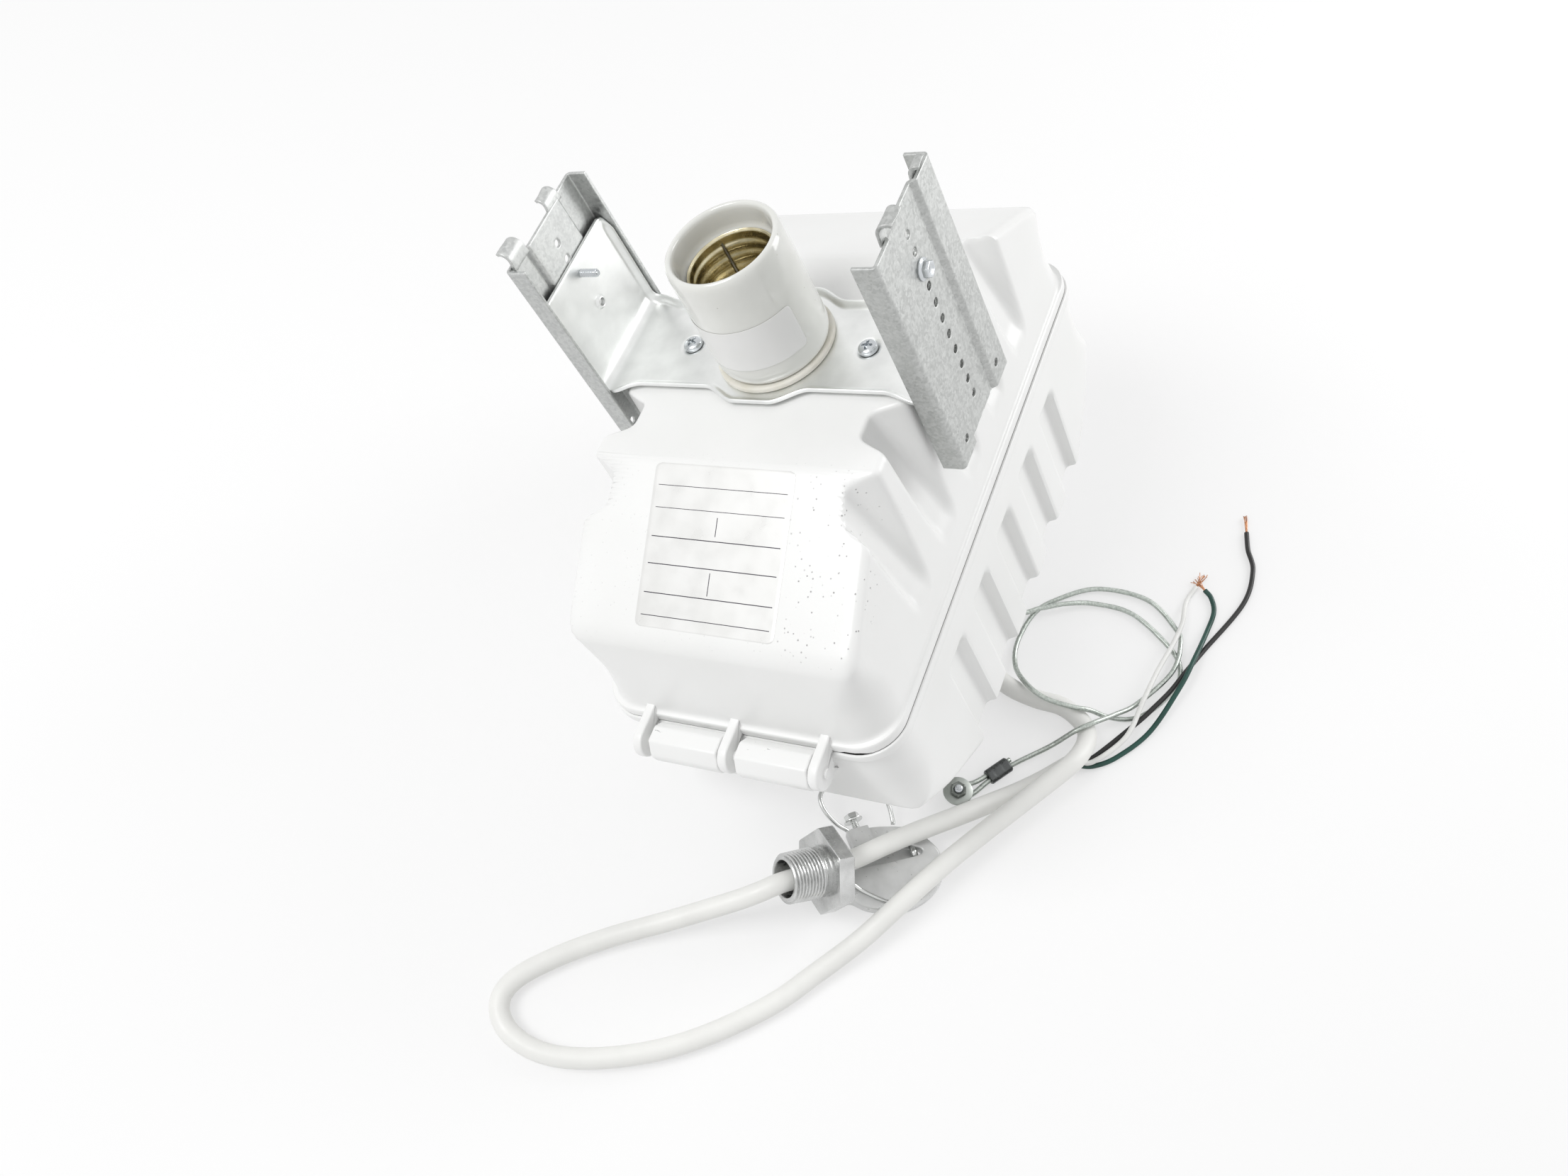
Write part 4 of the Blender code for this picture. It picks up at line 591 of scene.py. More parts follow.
# %% Safety cable
CABLE_RADIUS = 0.0014
FERRULE = on_floor((116.0, 75.6, 3.6), (124.0, 87.3, 3.4))
heading = unit(FERRULE[1] - FERRULE[0])
beside = unit(np.cross(heading, (0.0, 0.0, 1.0)))
pair = (CABLE_RADIUS + 0.00015) * beside
tail = np.array([FERRULE[1] + 0.0022 * heading, FERRULE[0] - 0.0008 * heading]) - pair
onward = np.array([FERRULE[0] - 0.0008 * heading, FERRULE[1] + 0.0012 * heading]) + pair
eye_turn = on_floor(
    (108.3, 68.8, 4.7), (101.6, 65.5, 4.7), (98.7, 61.6, 4.7),
    (100.6, 57.4, 4.7), (105.2, 57.4, 4.7), (110.8, 63.4, 4.6),
)
turn = on_floor(
    (142.0, 104.6, 4.2), (152.0, 114.0, 13.6), (160.5, 122.0, 15.2), (170.0, 133.0, 9.6),
    (180.5, 146.0, 5.0), (193.9, 171.0, 5.0), (194.7, 190.8, 3.8), (189.4, 201.3, 1.8),
    (169.7, 213.3, 1.8), (141.5, 210.0, 1.8), (121.4, 195.0, 1.8), (111.4, 181.3, 1.8),
    (107.7, 160.6, 1.8), (110.7, 145.0, 4.0), (119.0, 132.6, 12.6), (131.0, 127.2, 13.6),
    (146.0, 127.4, 13.4), (156.5, 130.2, 10.9), (167.0, 132.8, 4.4), (179.0, 137.0, 1.8),
    (188.5, 145.5, 1.8), (198.0, 163.0, 1.8), (198.6, 176.0, 1.8), (190.6, 187.0, 1.8),
    (165.1, 201.0, 1.8), (142.6, 200.0, 1.8), (126.5, 192.4, 4.6), (114.0, 184.2, 5.4),
    (101.0, 176.5, 8.0),
)
ANCHOR_X, ANCHOR_Y = 30.0, HUB_Y + 31.0
to_anchor = laid([
    (ANCHOR_X + 4, ANCHOR_Y, -UPPER_DEPTH - 30), (ANCHOR_X, ANCHOR_Y, -UPPER_DEPTH - 16),
    (ANCHOR_X, ANCHOR_Y, -UPPER_DEPTH - 8),
])
cable_path = smooth(np.vstack([tail, eye_turn, onward, turn, to_anchor]), 14)
STRANDS, LAY_LENGTH = 6, 0.011


def rope_lay(angle, run):
    """Six strands: the radius dips between strands that turn once in each lay length."""
    return 0.93 + 0.07 * np.abs(np.cos(0.5 * STRANDS * (angle - 2 * np.pi * run / LAY_LENGTH)))


CABLE = plain_metal("coated_strand", (0.33, 0.36, 0.335), (0.56, 0.60, 0.56), rough=0.34, grain=900)
cable = piece(
    "safety_strand", "upper_half", CABLE, wrapped(tube(cable_path, CABLE_RADIUS, 24, rope_lay)),
    slot="cable", stands_for=["safety_cable"],
)

# %% [markdown]
# ## Cast halves
# Each half is a thin die casting: a tub with drafted walls, sloping ends and five pockets down each
# side. Booleans would leave knife edges where the real casting has fillets. So the outside is
# written as one distance: planes joined by a rounded maximum, and pockets taken away in the same
# way. Level rays from the middle of the tub then find where that distance is nought.


# %% Distance to the castings
RIM_HALF, RIM_FRONT, RIM_LENGTH, RIM_CORNER, RIM_STEP = 81.0, 9.8, 300.0, 22.0, 1.8
MIDDLE, PITCH = RIM_FRONT + RIM_LENGTH / 2, 38.1
UPPER_SKIRT, UPPER_SLOPE, UPPER_DRAFT, POCKET_DEPTH = 55.0, 58.0, 1.2, 6.5
LOWER_HEIGHT, LOWER_SKIRT, LOWER_LEAN, LOWER_SLOPE, LOWER_DRAFT = 95.2, 55.5, 10.0, 73.5, 3.0
UPPER_HALF, LOWER_HALF = RIM_HALF - RIM_STEP, RIM_HALF - 1.5 * RIM_STEP
SILL_FOOT, SILL_TOP, SCOOP_TOP, SCOOP_LEAN = (79.1, 19.0), (73.65, 30.0), (59.8, 97.2), 0.206


def rounded_max(a, b, r):
    """Two half spaces with a round between: the greater distance, or an arc where both pass -r."""
    return np.minimum(np.maximum(a, b), -r) + np.hypot(np.maximum(a + r, 0), np.maximum(b + r, 0))


def eased(value, low, high):
    """0 below low, 1 above high, and a smooth cubic between."""
    t = np.clip((value - low) / (high - low), 0, 1)
    return t * t * (3 - 2 * t)


def plane(u, v, a, b):
    """Distance outwards from the line through points a and b of the (u, v) section."""
    du, dv = b[0] - a[0], b[1] - a[1]
    return ((u - a[0]) * dv - (v - a[1]) * du) / math.hypot(du, dv)


def from_pocket(y):
    """Way along the wall from the middle of the nearest of five pockets."""
    nearest = np.clip(np.round((y - MIDDLE) / PITCH), -2, 2)
    return np.abs(y - MIDDLE - nearest * PITCH)


def lower_distance(x, y, z):
    """Socket half: side, leaning end and label slope under a flat roof, less scoops with a sill."""
    x, reach = np.abs(x), np.abs(y - MIDDLE)
    knee = RIM_LENGTH / 2 - 1.5 * RIM_STEP - LOWER_LEAN
    side = x - (LOWER_HALF - LOWER_DRAFT * z / LOWER_HEIGHT)
    end = plane(reach, z, (knee + LOWER_LEAN, 0), (knee, LOWER_SKIRT))
    slope = plane(reach, z, (knee, LOWER_SKIRT), (knee - LOWER_SLOPE, LOWER_HEIGHT))
    roof = rounded_max(slope, z - LOWER_HEIGHT, 1.2)
    corner = RIM_CORNER + (4.0 - RIM_CORNER) * eased(z, 22, 62)
    tub = rounded_max(side, rounded_max(end, roof, 4.8), corner)
    back, sill = -plane(x, z, SILL_TOP, SCOOP_TOP), -plane(x, z, SILL_FOOT, SILL_TOP)
    climbed = z - SILL_TOP[1]
    depth = np.maximum(x - (SILL_TOP[0] - SCOOP_LEAN * climbed), -6.0)
    spread = 0.73 - 0.27 * np.clip(climbed / (SCOOP_TOP[1] - SILL_TOP[1]), 0, 1)
    flank = (from_pocket(y) - 7.0 - spread * depth) / np.hypot(1, spread)
    scoop = rounded_max(rounded_max(back, sill, 0.8), flank, 2.6)
    return rounded_max(tub, -scoop, 1.7)


def upper_distance(x, y, z):
    """Hub half: straight skirt and sloping ends over a flat base, less pockets of even depth."""
    x, reach, deep = np.abs(x), np.abs(y - MIDDLE), -z
    knee = RIM_LENGTH / 2 - RIM_STEP
    side = x - (UPPER_HALF - UPPER_DRAFT * deep / UPPER_DEPTH)
    slope = plane(reach, deep, (knee, UPPER_SKIRT), (knee - UPPER_SLOPE, UPPER_DEPTH))
    base = rounded_max(slope, deep - UPPER_DEPTH, 1.0)
    corner = RIM_CORNER + (2.4 - RIM_CORNER) * eased(deep, 30, 74)
    tub = rounded_max(side, rounded_max(reach - knee, base, 3.6), corner)
    back_at = UPPER_HALF - POCKET_DEPTH
    back = rounded_max(back_at - x, -plane(x, deep, (79.7, 24.0), (back_at, 33.0)), 2.0)
    flank = (from_pocket(y) - 9.2 - 0.2 * np.maximum(x - back_at, -6)) / 1.02
    return rounded_max(tub, -rounded_max(back, flank, 2.4), 1.8)


print("roof middle", lower_distance(0, MIDDLE, LOWER_HEIGHT))
print("base middle", upper_distance(0, MIDDLE, -UPPER_DEPTH))

# %% [markdown]
# The rim is a rounded rectangle, so its points and outward normals are known. Each of them is one
# column of the skin. A column climbs the rim, runs up the wall, crosses the roof to a round hole,
# and comes back down the inside to the rim, so that one closed grid makes the whole thin casting.


# %% Columns and rays
def rim_columns(long=200, short=44, bend=12):
    """Rounded rectangle: four straights and four arcs, with the outward normal of each point."""
    half, low, high, r = RIM_HALF, RIM_FRONT, RIM_FRONT + RIM_LENGTH, RIM_CORNER
    points, normals = [], []
    sides = (
        ((half, low + r), (half, high - r), long), ((half - r, high), (r - half, high), short),
        ((-half, high - r), (-half, low + r), long), ((r - half, low), (half - r, low), short),
    )
    for k, (a, b, count) in enumerate(sides):
        t = np.linspace(0, 1, count, endpoint=False)[:, None]
        facing = np.array([math.cos(k * math.pi / 2), math.sin(k * math.pi / 2)])
        points.append(np.array(a) * (1 - t) + np.array(b) * t)
        normals.append(np.broadcast_to(facing, (count, 2)))
        angle = (k + np.linspace(0, 1, bend, endpoint=False)) * math.pi / 2
        turn = np.stack([np.cos(angle), np.sin(angle)], -1)
        points.append(np.array(b) - r * facing + r * turn)
        normals.append(turn)
    return np.concatenate(points), np.concatenate(normals)


RIM_AT, RIM_OUT = rim_columns()


def rim_row(inset, z):
    """The rim outline moved inwards by inset, at one height."""
    return np.column_stack([RIM_AT - inset * RIM_OUT, np.full(len(RIM_AT), z)])


def spine_rays(first, last):
    """For each column, a start on the middle line and a level direction to the rim point."""
    start = np.column_stack([np.zeros(len(RIM_AT)), np.clip(RIM_AT[:, 1], first, last)])
    return start, unit(RIM_AT - start)


def level_rows(distance, rays, heights, offsets):
    """Halving: the length of each level ray at which distance equals the row's offset."""
    start, way = rays
    z = np.asarray(heights, float)[:, None]
    aim = np.broadcast_to(np.asarray(offsets, float), (len(z),))[:, None]
    short, long = np.zeros((len(z), len(start))), np.full((len(z), len(start)), 190.0)
    for _ in range(34):
        trial = (short + long) / 2
        inside = distance(start[:, 0] + trial * way[:, 0], start[:, 1] + trial * way[:, 1], z) < aim
        short, long = np.where(inside, trial, short), np.where(inside, long, trial)
    plan = start + short[..., None] * way
    return np.concatenate([plan, np.broadcast_to(z[..., None], (*plan.shape[:2], 1))], -1)


def across_to(ring, rays, centre, radius, height, steps=(4, 5)):
    """Flat rows from a ring to a round hole: first back along the rays, then turning to the circle."""
    start, way = rays
    plan = ring[:, :2]
    near = start + way * np.minimum(0.5 * np.linalg.norm(plan - start, axis=1), 30.0)[:, None]
    angle = np.arctan2(near[:, 1] - centre[1], near[:, 0] - centre[0])
    circle = np.array(centre) + radius * np.stack([np.cos(angle), np.sin(angle)], -1)
    t = (np.arange(1, steps[0] + 1) / steps[0])[:, None, None]
    s = (np.arange(1, steps[1] + 1) / steps[1])[:, None, None]
    flat = np.concatenate([plan * (1 - t) + near * t, near * (1 - s) + circle * s])
    return np.concatenate([flat, np.full((*flat.shape[:2], 1), height)], -1), circle


def circle_rows(circle, centre, profile):
    """The hole's circle repeated at each (radius, height) of a turned profile."""
    way = unit(circle - np.array(centre))
    rows = [np.column_stack([centre + r * way, np.full(len(way), z)]) for r, z in profile]
    return np.stack(rows)


print("columns", len(RIM_AT))


# %% Turned and sawn shapes
UP = (0, 0, 1)


def about(at, axis, radius, angle, height):
    """Polar coordinates round an axis of length one, in housing millimetres."""
    axis = np.array(axis, float)
    side = unit(np.cross(axis, (0.0, 1.0, 0.0) if abs(axis[1]) < 0.9 else (1.0, 0.0, 0.0)))
    r, a, h = (np.asarray(v, float)[..., None] for v in (radius, angle, height))
    return np.array(at, float) + h * axis + r * (np.cos(a) * side + np.sin(a) * np.cross(axis, side))


def turned(profile, at, axis=UP, ring=32):
    """Body of revolution: each (radius, height) carried round the axis."""
    r, h = np.array(profile, float).T[..., None]
    return about(at, axis, r, ring_angles(ring), h)


def stacked(at, axis, angle, rows):
    """Rings along an axis, each a (radius, height); a radius may change with the angle."""
    return np.stack([about(at, axis, r, angle, h) for r, h in rows])


def rounded_outline(corners, radii, steps=6):
    """Polygon whose corners are arcs: the arc is tangent to both sides and has the corner's radius."""
    p = np.array(corners, float)
    radii = np.broadcast_to(np.asarray(radii, float), (len(p),))
    before, after = unit(np.roll(p, 1, 0) - p), unit(np.roll(p, -1, 0) - p)
    half = 0.5 * np.arccos(np.clip((before * after).sum(1), -0.9999, 0.9999))
    mean = unit(before + after)
    centre = p + mean * (radii / np.sin(half))[:, None]
    start = before * (radii / np.tan(half))[:, None] + p - centre
    turn = np.sign(before[:, 0] * after[:, 1] - before[:, 1] * after[:, 0]) * -(np.pi - 2 * half)
    angle = turn[:, None] * np.linspace(0, 1, steps + 1)[None, :]
    c, s = np.cos(angle), np.sin(angle)
    x = centre[:, 0:1] + c * start[:, 0:1] - s * start[:, 1:2]
    y = centre[:, 1:2] + s * start[:, 0:1] + c * start[:, 1:2]
    return np.stack([x, y], -1).reshape(-1, 2)


def slab(outline, low, high, edge, bend=3):
    """An outline cut from thick stock with rounded edges, as rows of (u, v, height) to the middle."""
    ahead = np.roll(outline, -1, 0) - np.roll(outline, 1, 0)
    length = np.maximum(np.linalg.norm(ahead, axis=1, keepdims=True), 1e-9)
    u, v = outline.T
    area = (u * np.roll(v, -1) - np.roll(u, -1) * v).sum()
    inward = np.stack([-ahead[:, 1], ahead[:, 0]], -1) / length * np.sign(area)
    angle = np.linspace(0, np.pi / 2, bend + 1)
    inset = np.concatenate([edge * (1 - np.sin(angle)), edge * (1 - np.cos(angle))])
    height = np.concatenate([low + edge * (1 - np.cos(angle)), high - edge * (1 - np.sin(angle))])
    rows = outline + inset[:, None, None] * inward
    rows = np.concatenate([rows, np.broadcast_to(height[:, None, None], (*rows.shape[:2], 1))], -1)
    middle = outline.mean(0)
    caps = [np.broadcast_to([*middle, h], (1, len(outline), 3)) for h in (low, high)]
    return np.concatenate([caps[0], rows, caps[1]])


def across_x(rows):
    """(u, v, height) rows with u along Y, v along Z and height along X."""
    return rows[..., [2, 0, 1]]


def point_count(grids):
    """Points in a list of grids."""
    return sum(g.shape[0] * g.shape[1] for g in grids)


print("slab and lathe ready")

# %% Socket half
SOCKET_Y, HOLE_RADIUS, HOLE_EDGE, LOWER_SPINE, RIM_GAP = 163.5, 24.0, 0.4, 98.0, 0.15
hole_at, ceiling_height = (0, SOCKET_Y), LOWER_HEIGHT - WALL
lower_rays = spine_rays(LOWER_SPINE, 2 * MIDDLE - LOWER_SPINE)
near_roof = LOWER_HEIGHT - np.array([3.1, 2.2, 1.4, 0.75, 0.3, 0.06, 0.004])
climb = np.concatenate([np.linspace(8.0, 91.0, 68), near_roof])
outer_wall = level_rows(lower_distance, lower_rays, climb, 0.0)
foot = level_rows(lower_distance, lower_rays, [5.55, 5.8, 6.3, 7.0], [1.1, 0.7, 0.3, 0.08])
mouth = HOLE_RADIUS + HOLE_EDGE
roof, hole = across_to(outer_wall[-1], lower_rays, hole_at, mouth, LOWER_HEIGHT)
edge = circle_rows(hole, hole_at, [
    (HOLE_RADIUS, LOWER_HEIGHT - HOLE_EDGE), (HOLE_RADIUS, ceiling_height + HOLE_EDGE),
    (mouth, ceiling_height),
])
fall = np.concatenate([ceiling_height - np.array([0.01, 0.3, 1.0, 2.4]), np.linspace(86.0, 1.0, 26)])
inner_wall = level_rows(lower_distance, lower_rays, fall, -WALL)
ceiling, _ = across_to(inner_wall[0], lower_rays, hole_at, mouth, ceiling_height, (2, 3))
rim_profile = [
    (4.9, RIM_GAP), (1.45, RIM_GAP), (1.25, 0.25), (1.15, 0.6), (1.15, 1.1), (1.15, 4.2),
    (1.3, 4.9), (1.65, 5.35),
]
lower_rim = np.stack([rim_row(inset, z) for inset, z in rim_profile])
x, y = RIM_AT.T
pry_slot = (y < RIM_FRONT + 2.5) * eased(x, 53, 57) * (1 - eased(x, 65, 69))
lower_rim[:5, :, 2] += 1.4 * pry_slot
lower_skin = np.concatenate(
    [lower_rim, foot, outer_wall, roof, edge, ceiling[::-1][1:], inner_wall]
)
x, y, z = (lower_skin[..., k] for k in range(3))
# The zone of raised overspray specks; the white finish paints shade on them.
on_face = lower_distance(x, y, z) > -0.6
spray = on_face * eased(z, 52, 62) * eased(x, 30, 48) * (1 - eased(x, 76, 78))
spray = spray * (1 - eased(y, 86, 104))
spray = spray + 0.25 * on_face * eased(z, 50, 60) * (1 - eased(y, 80, 110))
BOSS_RADIUS, PLATE_SCREW = 6.0, 47.2
pillar = [
    (BOSS_RADIUS + 2.5, ceiling_height + 0.5), (BOSS_RADIUS + 0.7, ceiling_height - 0.6),
    (BOSS_RADIUS, ceiling_height - 2.5), (BOSS_RADIUS, 82.0), (BOSS_RADIUS - 0.8, 81.2),
    (2.6, 81.2), (2.3, 81.6), (2.3, 90.0), (0.0, 90.0),
]
pillars = [turned(pillar, (s * PLATE_SCREW, SOCKET_Y, 0)) for s in (-1, 1)]
LUG_RADIUS, LUG_HALF, HINGE_SPAN = 8.5, 2.5, 48.0
angle = np.radians(np.arange(102, 346, 6))
tongue = LUG_RADIUS * np.stack([np.cos(angle), np.sin(angle)], -1)
root = [
    (8.6, -0.4), (9.0, 0.9), (15.6, 1.0), (15.7, 5.0), (16.0, 9.8), (13.6, 8.9), (8.0, 8.5),
    (2.4, 8.5),
]
lug_outline = np.vstack([tongue, root])
lugs = [
    across_x(slab(lug_outline, place - LUG_HALF, place + LUG_HALF, 1.0))
    for place in (-HINGE_SPAN, 0.0, HINGE_SPAN)
]
EAR_AT, EAR_TIP = 40.0, RIM_FRONT + RIM_LENGTH + 14.0
ear_corners = [(-8, 306.0), (8, 306.0), (8, EAR_TIP), (-8, EAR_TIP)]
ear_outline = rounded_outline(ear_corners, [0.3, 0.3, 6.5, 6.5])


def ears(low, high):
    """The two closing lugs of one half."""
    return [slab(ear_outline + np.array([s * EAR_AT, 0]), low, high, 1.0) for s in (-1, 1)]


extras = [*pillars, *lugs, *ears(RIM_GAP, 10.0)]
piece(
    "lower_casting", "lower_half", WHITE, (laid(lower_skin), True, True),
    *[laid_round(e) for e in extras], slot="white_coat", stands_for=["lower_housing"], sharp=38,
    marks={"speck_zone": np.concatenate([spray.ravel(), np.zeros(point_count(extras))])},
)

# %% [markdown]
# The hub half goes the same way. Its base runs out into the round hub, its rim has a groove for
# the gasket, and its hinge barrels are scuffed where the lugs of the other half rub on them.

# %% Hub half
UPPER_SPINE, HUB_RADIUS, HUB_BORE = 74.5, 20.0, 12.5
hub_at, floor_height, hub_end = (0, HUB_Y), -UPPER_DEPTH + WALL, -UPPER_DEPTH - HUB_HEIGHT
upper_rays = spine_rays(UPPER_SPINE, 2 * MIDDLE - UPPER_SPINE)
near_base = UPPER_DEPTH - np.array([2.4, 1.6, 0.9, 0.4, 0.1, 0.004])
sink = -np.concatenate([np.linspace(8.0, 87.6, 62), near_base])
outer_wall = level_rows(upper_distance, upper_rays, sink, 0.0)
foot = level_rows(upper_distance, upper_rays, [-5.55, -5.8, -6.3, -7.0], [1.15, 0.72, 0.3, 0.08])
base, hub = across_to(outer_wall[-1], upper_rays, hub_at, HUB_RADIUS + 6.0, -UPPER_DEPTH)
spout = circle_rows(hub, hub_at, [
    (23.6, -91.4), (21.6, -92.8), (20.5, -95.0), (HUB_RADIUS, -98.0), (HUB_RADIUS, hub_end + 1.4),
    (19.6, hub_end + 0.4), (18.6, hub_end), (13.9, hub_end), (13.0, hub_end + 0.3),
    (HUB_BORE, hub_end + 1.1), (HUB_BORE, floor_height - 0.4), (HUB_BORE + 0.4, floor_height),
])
rise = -np.concatenate([-floor_height - np.array([0.01, 0.3, 1.0, 2.4]), np.linspace(82.0, 1.0, 26)])
inner_wall = level_rows(upper_distance, upper_rays, rise, -WALL)
inner_base, _ = across_to(inner_wall[0], upper_rays, hub_at, HUB_BORE + 0.4, floor_height, (2, 4))
rim_profile = [
    (4.9, -RIM_GAP), (4.29, -RIM_GAP), (4.29, -2.7), (1.276, -2.7), (1.276, -RIM_GAP),
    (0.75, -RIM_GAP), (0.3, -0.3), (0.05, -0.75), (0.0, -1.3), (0.0, -4.2), (0.12, -4.9),
    (0.45, -5.35),
]
upper_rim = np.stack([rim_row(inset, z) for inset, z in rim_profile])
upper_skin = np.concatenate(
    [upper_rim, foot, outer_wall, base, spout, inner_base[::-1][1:], inner_wall]
)
knuckle = [
    (13.6, -1.0), (9.0, -0.4), (8.2, 4.7), (3.7, 8.6), (-4.4, 8.3), (-9.0, 0.8), (-7.9, -5.2),
    (-4.5, -8.0), (13.6, -21.5),
]
knuckle = rounded_outline(knuckle, [0.2, 0.8, 3.2, 2.8, 1.5, 4.6, 3.4, 2.2, 0.2])
barrels = [across_x(slab(knuckle, *span, 0.9)) for span in ((7.0, 45.2), (-41.0, -LUG_HALF - 0.3))]
boss_seat = floor_height + 6.0
boss = [
    (BOSS_RADIUS + 2.0, floor_height - 0.5), (BOSS_RADIUS + 0.6, floor_height + 0.5),
    (BOSS_RADIUS, floor_height + 2.0), (BOSS_RADIUS, boss_seat - 0.5),
    (BOSS_RADIUS - 0.5, boss_seat), (2.6, boss_seat), (2.3, boss_seat - 0.4), (2.3, floor_height),
    (0, floor_height),
]
boss_places = [(-54.5, 102.65), (54.5, 102.65), (-26, 184.3), (-26, 246.3), (41, 244.3), (-41, 153.8)]
bosses = [turned(boss, (*place, 0), ring=24) for place in boss_places]
extras = [*barrels, *bosses, *ears(-14.0, -RIM_GAP)]
wear = np.zeros(point_count([upper_skin, *extras]))
barrels_from = point_count([upper_skin])
wear[barrels_from : barrels_from + point_count(barrels)] = 1.0
piece(
    "upper_casting", "upper_half", WHITE, (laid(upper_skin), True, True),
    *[laid_round(e) for e in extras], slot="white_coat", stands_for=["upper_housing"], sharp=38,
    marks={"scuff": wear},
)

# %% [markdown]
# ## Sheet metal: bracket and rails
# The socket bracket is one strap of zinc-plated steel bent up at both ends. Each ear carries a
# galvanised rail, a rolled channel with a row of holes in its middle web. Both are drawn as a middle
# surface on a grid. A modifier gives it the thickness of the sheet and another breaks the edges.


# %% Pierced sheets
def pierced(u, v, holes):
    """Round holes in a grid: points near a hole move on to its circle, or by their share of that."""
    u, v = u.copy(), v.copy()
    gone = np.zeros(u.shape, bool)
    for at_u, at_v, r, square in holes:
        du, dv = u - at_u, v - at_v
        m = np.maximum(np.abs(du), np.abs(dv))
        n = np.maximum(np.hypot(du, dv), 1e-9)
        share = np.clip((2.2 * square - m) / (1.2 * square), 0, 1)
        target = r + (m - square) * (2.2 * square - r) / (1.2 * square)
        k = np.where(m > 0.6 * square, share * target / n + (1 - share), 1.0)
        u, v = at_u + du * k, at_v + dv * k
        gone |= m < 0.99 * square
    quads = ~(gone[:-1, :-1] | gone[1:, :-1] | gone[:-1, 1:] | gone[1:, 1:])
    return u, v, quads


PLATE_THICK, PLATE_LOW, EAR_X, EAR_HALF, EAR_TOP, BEND = 1.9, 95.5, 88.0, 30.4, 153.5, 8.0
PLATE_MID, EAR_MID = PLATE_LOW + PLATE_THICK / 2, EAR_X - PLATE_THICK / 2
BEND_MID = BEND - PLATE_THICK / 2
FLAT_END = EAR_MID - BEND_MID
EAR_SCREW_Z, HOLE_PITCH = 145.7, 9.525
EAR_HOLE_Z, CELL = EAR_SCREW_Z - 2 * HOLE_PITCH, EAR_HALF / 32


def strap_run():
    """Way along half the strap: flat to the bend, a quarter turn, then up the ear to its top."""
    arc = np.pi / 2 * BEND_MID
    flat = np.linspace(0, FLAT_END, 90, endpoint=False)
    bend = FLAT_END + arc * np.linspace(0, 1, 14, endpoint=False)
    first = PLATE_MID + BEND_MID
    low = math.ceil((first + 0.3 - EAR_HOLE_Z) / CELL)
    high = math.floor((EAR_TOP - 0.3 - EAR_HOLE_Z) / CELL)
    ear = np.concatenate([[first], EAR_HOLE_Z + CELL * np.arange(low, high + 1), [EAR_TOP]])
    return np.concatenate([flat, bend, FLAT_END + arc + ear - first])


def strap_point(run):
    """Section of the strap at a signed way along it: (x, z) and the normal on the socket's side."""
    side, s = np.sign(run), np.abs(run)
    arc = np.pi / 2 * BEND_MID
    turn = np.clip((s - FLAT_END) / BEND_MID, 0, np.pi / 2)
    x = np.minimum(s, FLAT_END) + BEND_MID * np.sin(turn)
    z = PLATE_MID + BEND_MID * (1 - np.cos(turn)) + np.maximum(s - FLAT_END - arc, 0)
    return side * x, z, -side * np.sin(turn), np.cos(turn)


half_run = strap_run()
run = np.concatenate([-half_run[:0:-1], half_run])
x, z, *_ = strap_point(run)
reach = np.abs(x)
up_ear = np.where(z > PLATE_MID + BEND_MID, z, 0)
EAR_CORNER, DIMPLE = 3.5, 6.6
width = 26.5 + 3.9 * eased(reach, 64, 80) + 8.0 * eased(28.0 - reach, 0, 19)
over = np.maximum(up_ear - (EAR_TOP - EAR_CORNER), 0)
width = width - EAR_CORNER + np.sqrt(np.maximum(EAR_CORNER**2 - over**2, 0.05))
across = np.arange(-32, 33) / 32
u, v, kept = pierced(
    np.broadcast_to(run[:, None], (len(run), len(across))), across * width[:, None],
    [(s * (half_run[-1] - EAR_TOP + EAR_HOLE_Z), 0.0, 1.9, 2 * CELL) for s in (-1, 1)],
)
x, z, nx, nz = strap_point(u)
on_plate = 1 - eased(np.abs(u), FLAT_END - 10, FLAT_END + 4)
front_lip = 2.3 * on_plate * eased(-v - width[:, None] + 4.2, 0, 4.2) ** 2
below_top = 1 - eased(up_ear, EAR_TOP - 9, EAR_TOP - 1)
back_lip = 3.6 * eased(v - width[:, None] + 4.6, 0, 4.6) ** 2 * below_top[:, None]
from_screw = np.hypot(np.abs(x) - PLATE_SCREW, v)
dimple = -1.1 * (1 - eased(from_screw, DIMPLE - 1.6, DIMPLE)) * (np.abs(u) < FLAT_END)
lift = front_lip + back_lip + dimple
strap = np.stack([x + lift * nx, SOCKET_Y + v, z + lift * nz], -1)
piece(
    "bracket_strap", "lower_half", BRACKET_ZINC, (laid(strap), False, False, kept),
    slot="zinc_steel", stands_for=["socket_bracket"], wall=PLATE_THICK * MM, edge=0.00035,
)
collar = [(1.9, -0.2), (1.9, 1.1), (2.15, 1.4), (2.6, 1.3), (2.9, 0.5), (3.6, 0.05), (3.8, -0.2)]
inner_face = EAR_X - PLATE_THICK
collars = [turned(collar, (s * inner_face, SOCKET_Y, EAR_HOLE_Z), (-s, 0, 0), 28) for s in (-1, 1)]
collar_grids = [(laid(c), True, True) for c in collars]
piece("ear_collars", "lower_half", BRACKET_ZINC, *collar_grids, slot="zinc_steel")

# %% [markdown]
# A rail's section is web, step, land, bend and flange. The grid lines lie on the rows of holes, so
# each hole takes the same four cells. Two tongues at the top of each rail are curled by hand.

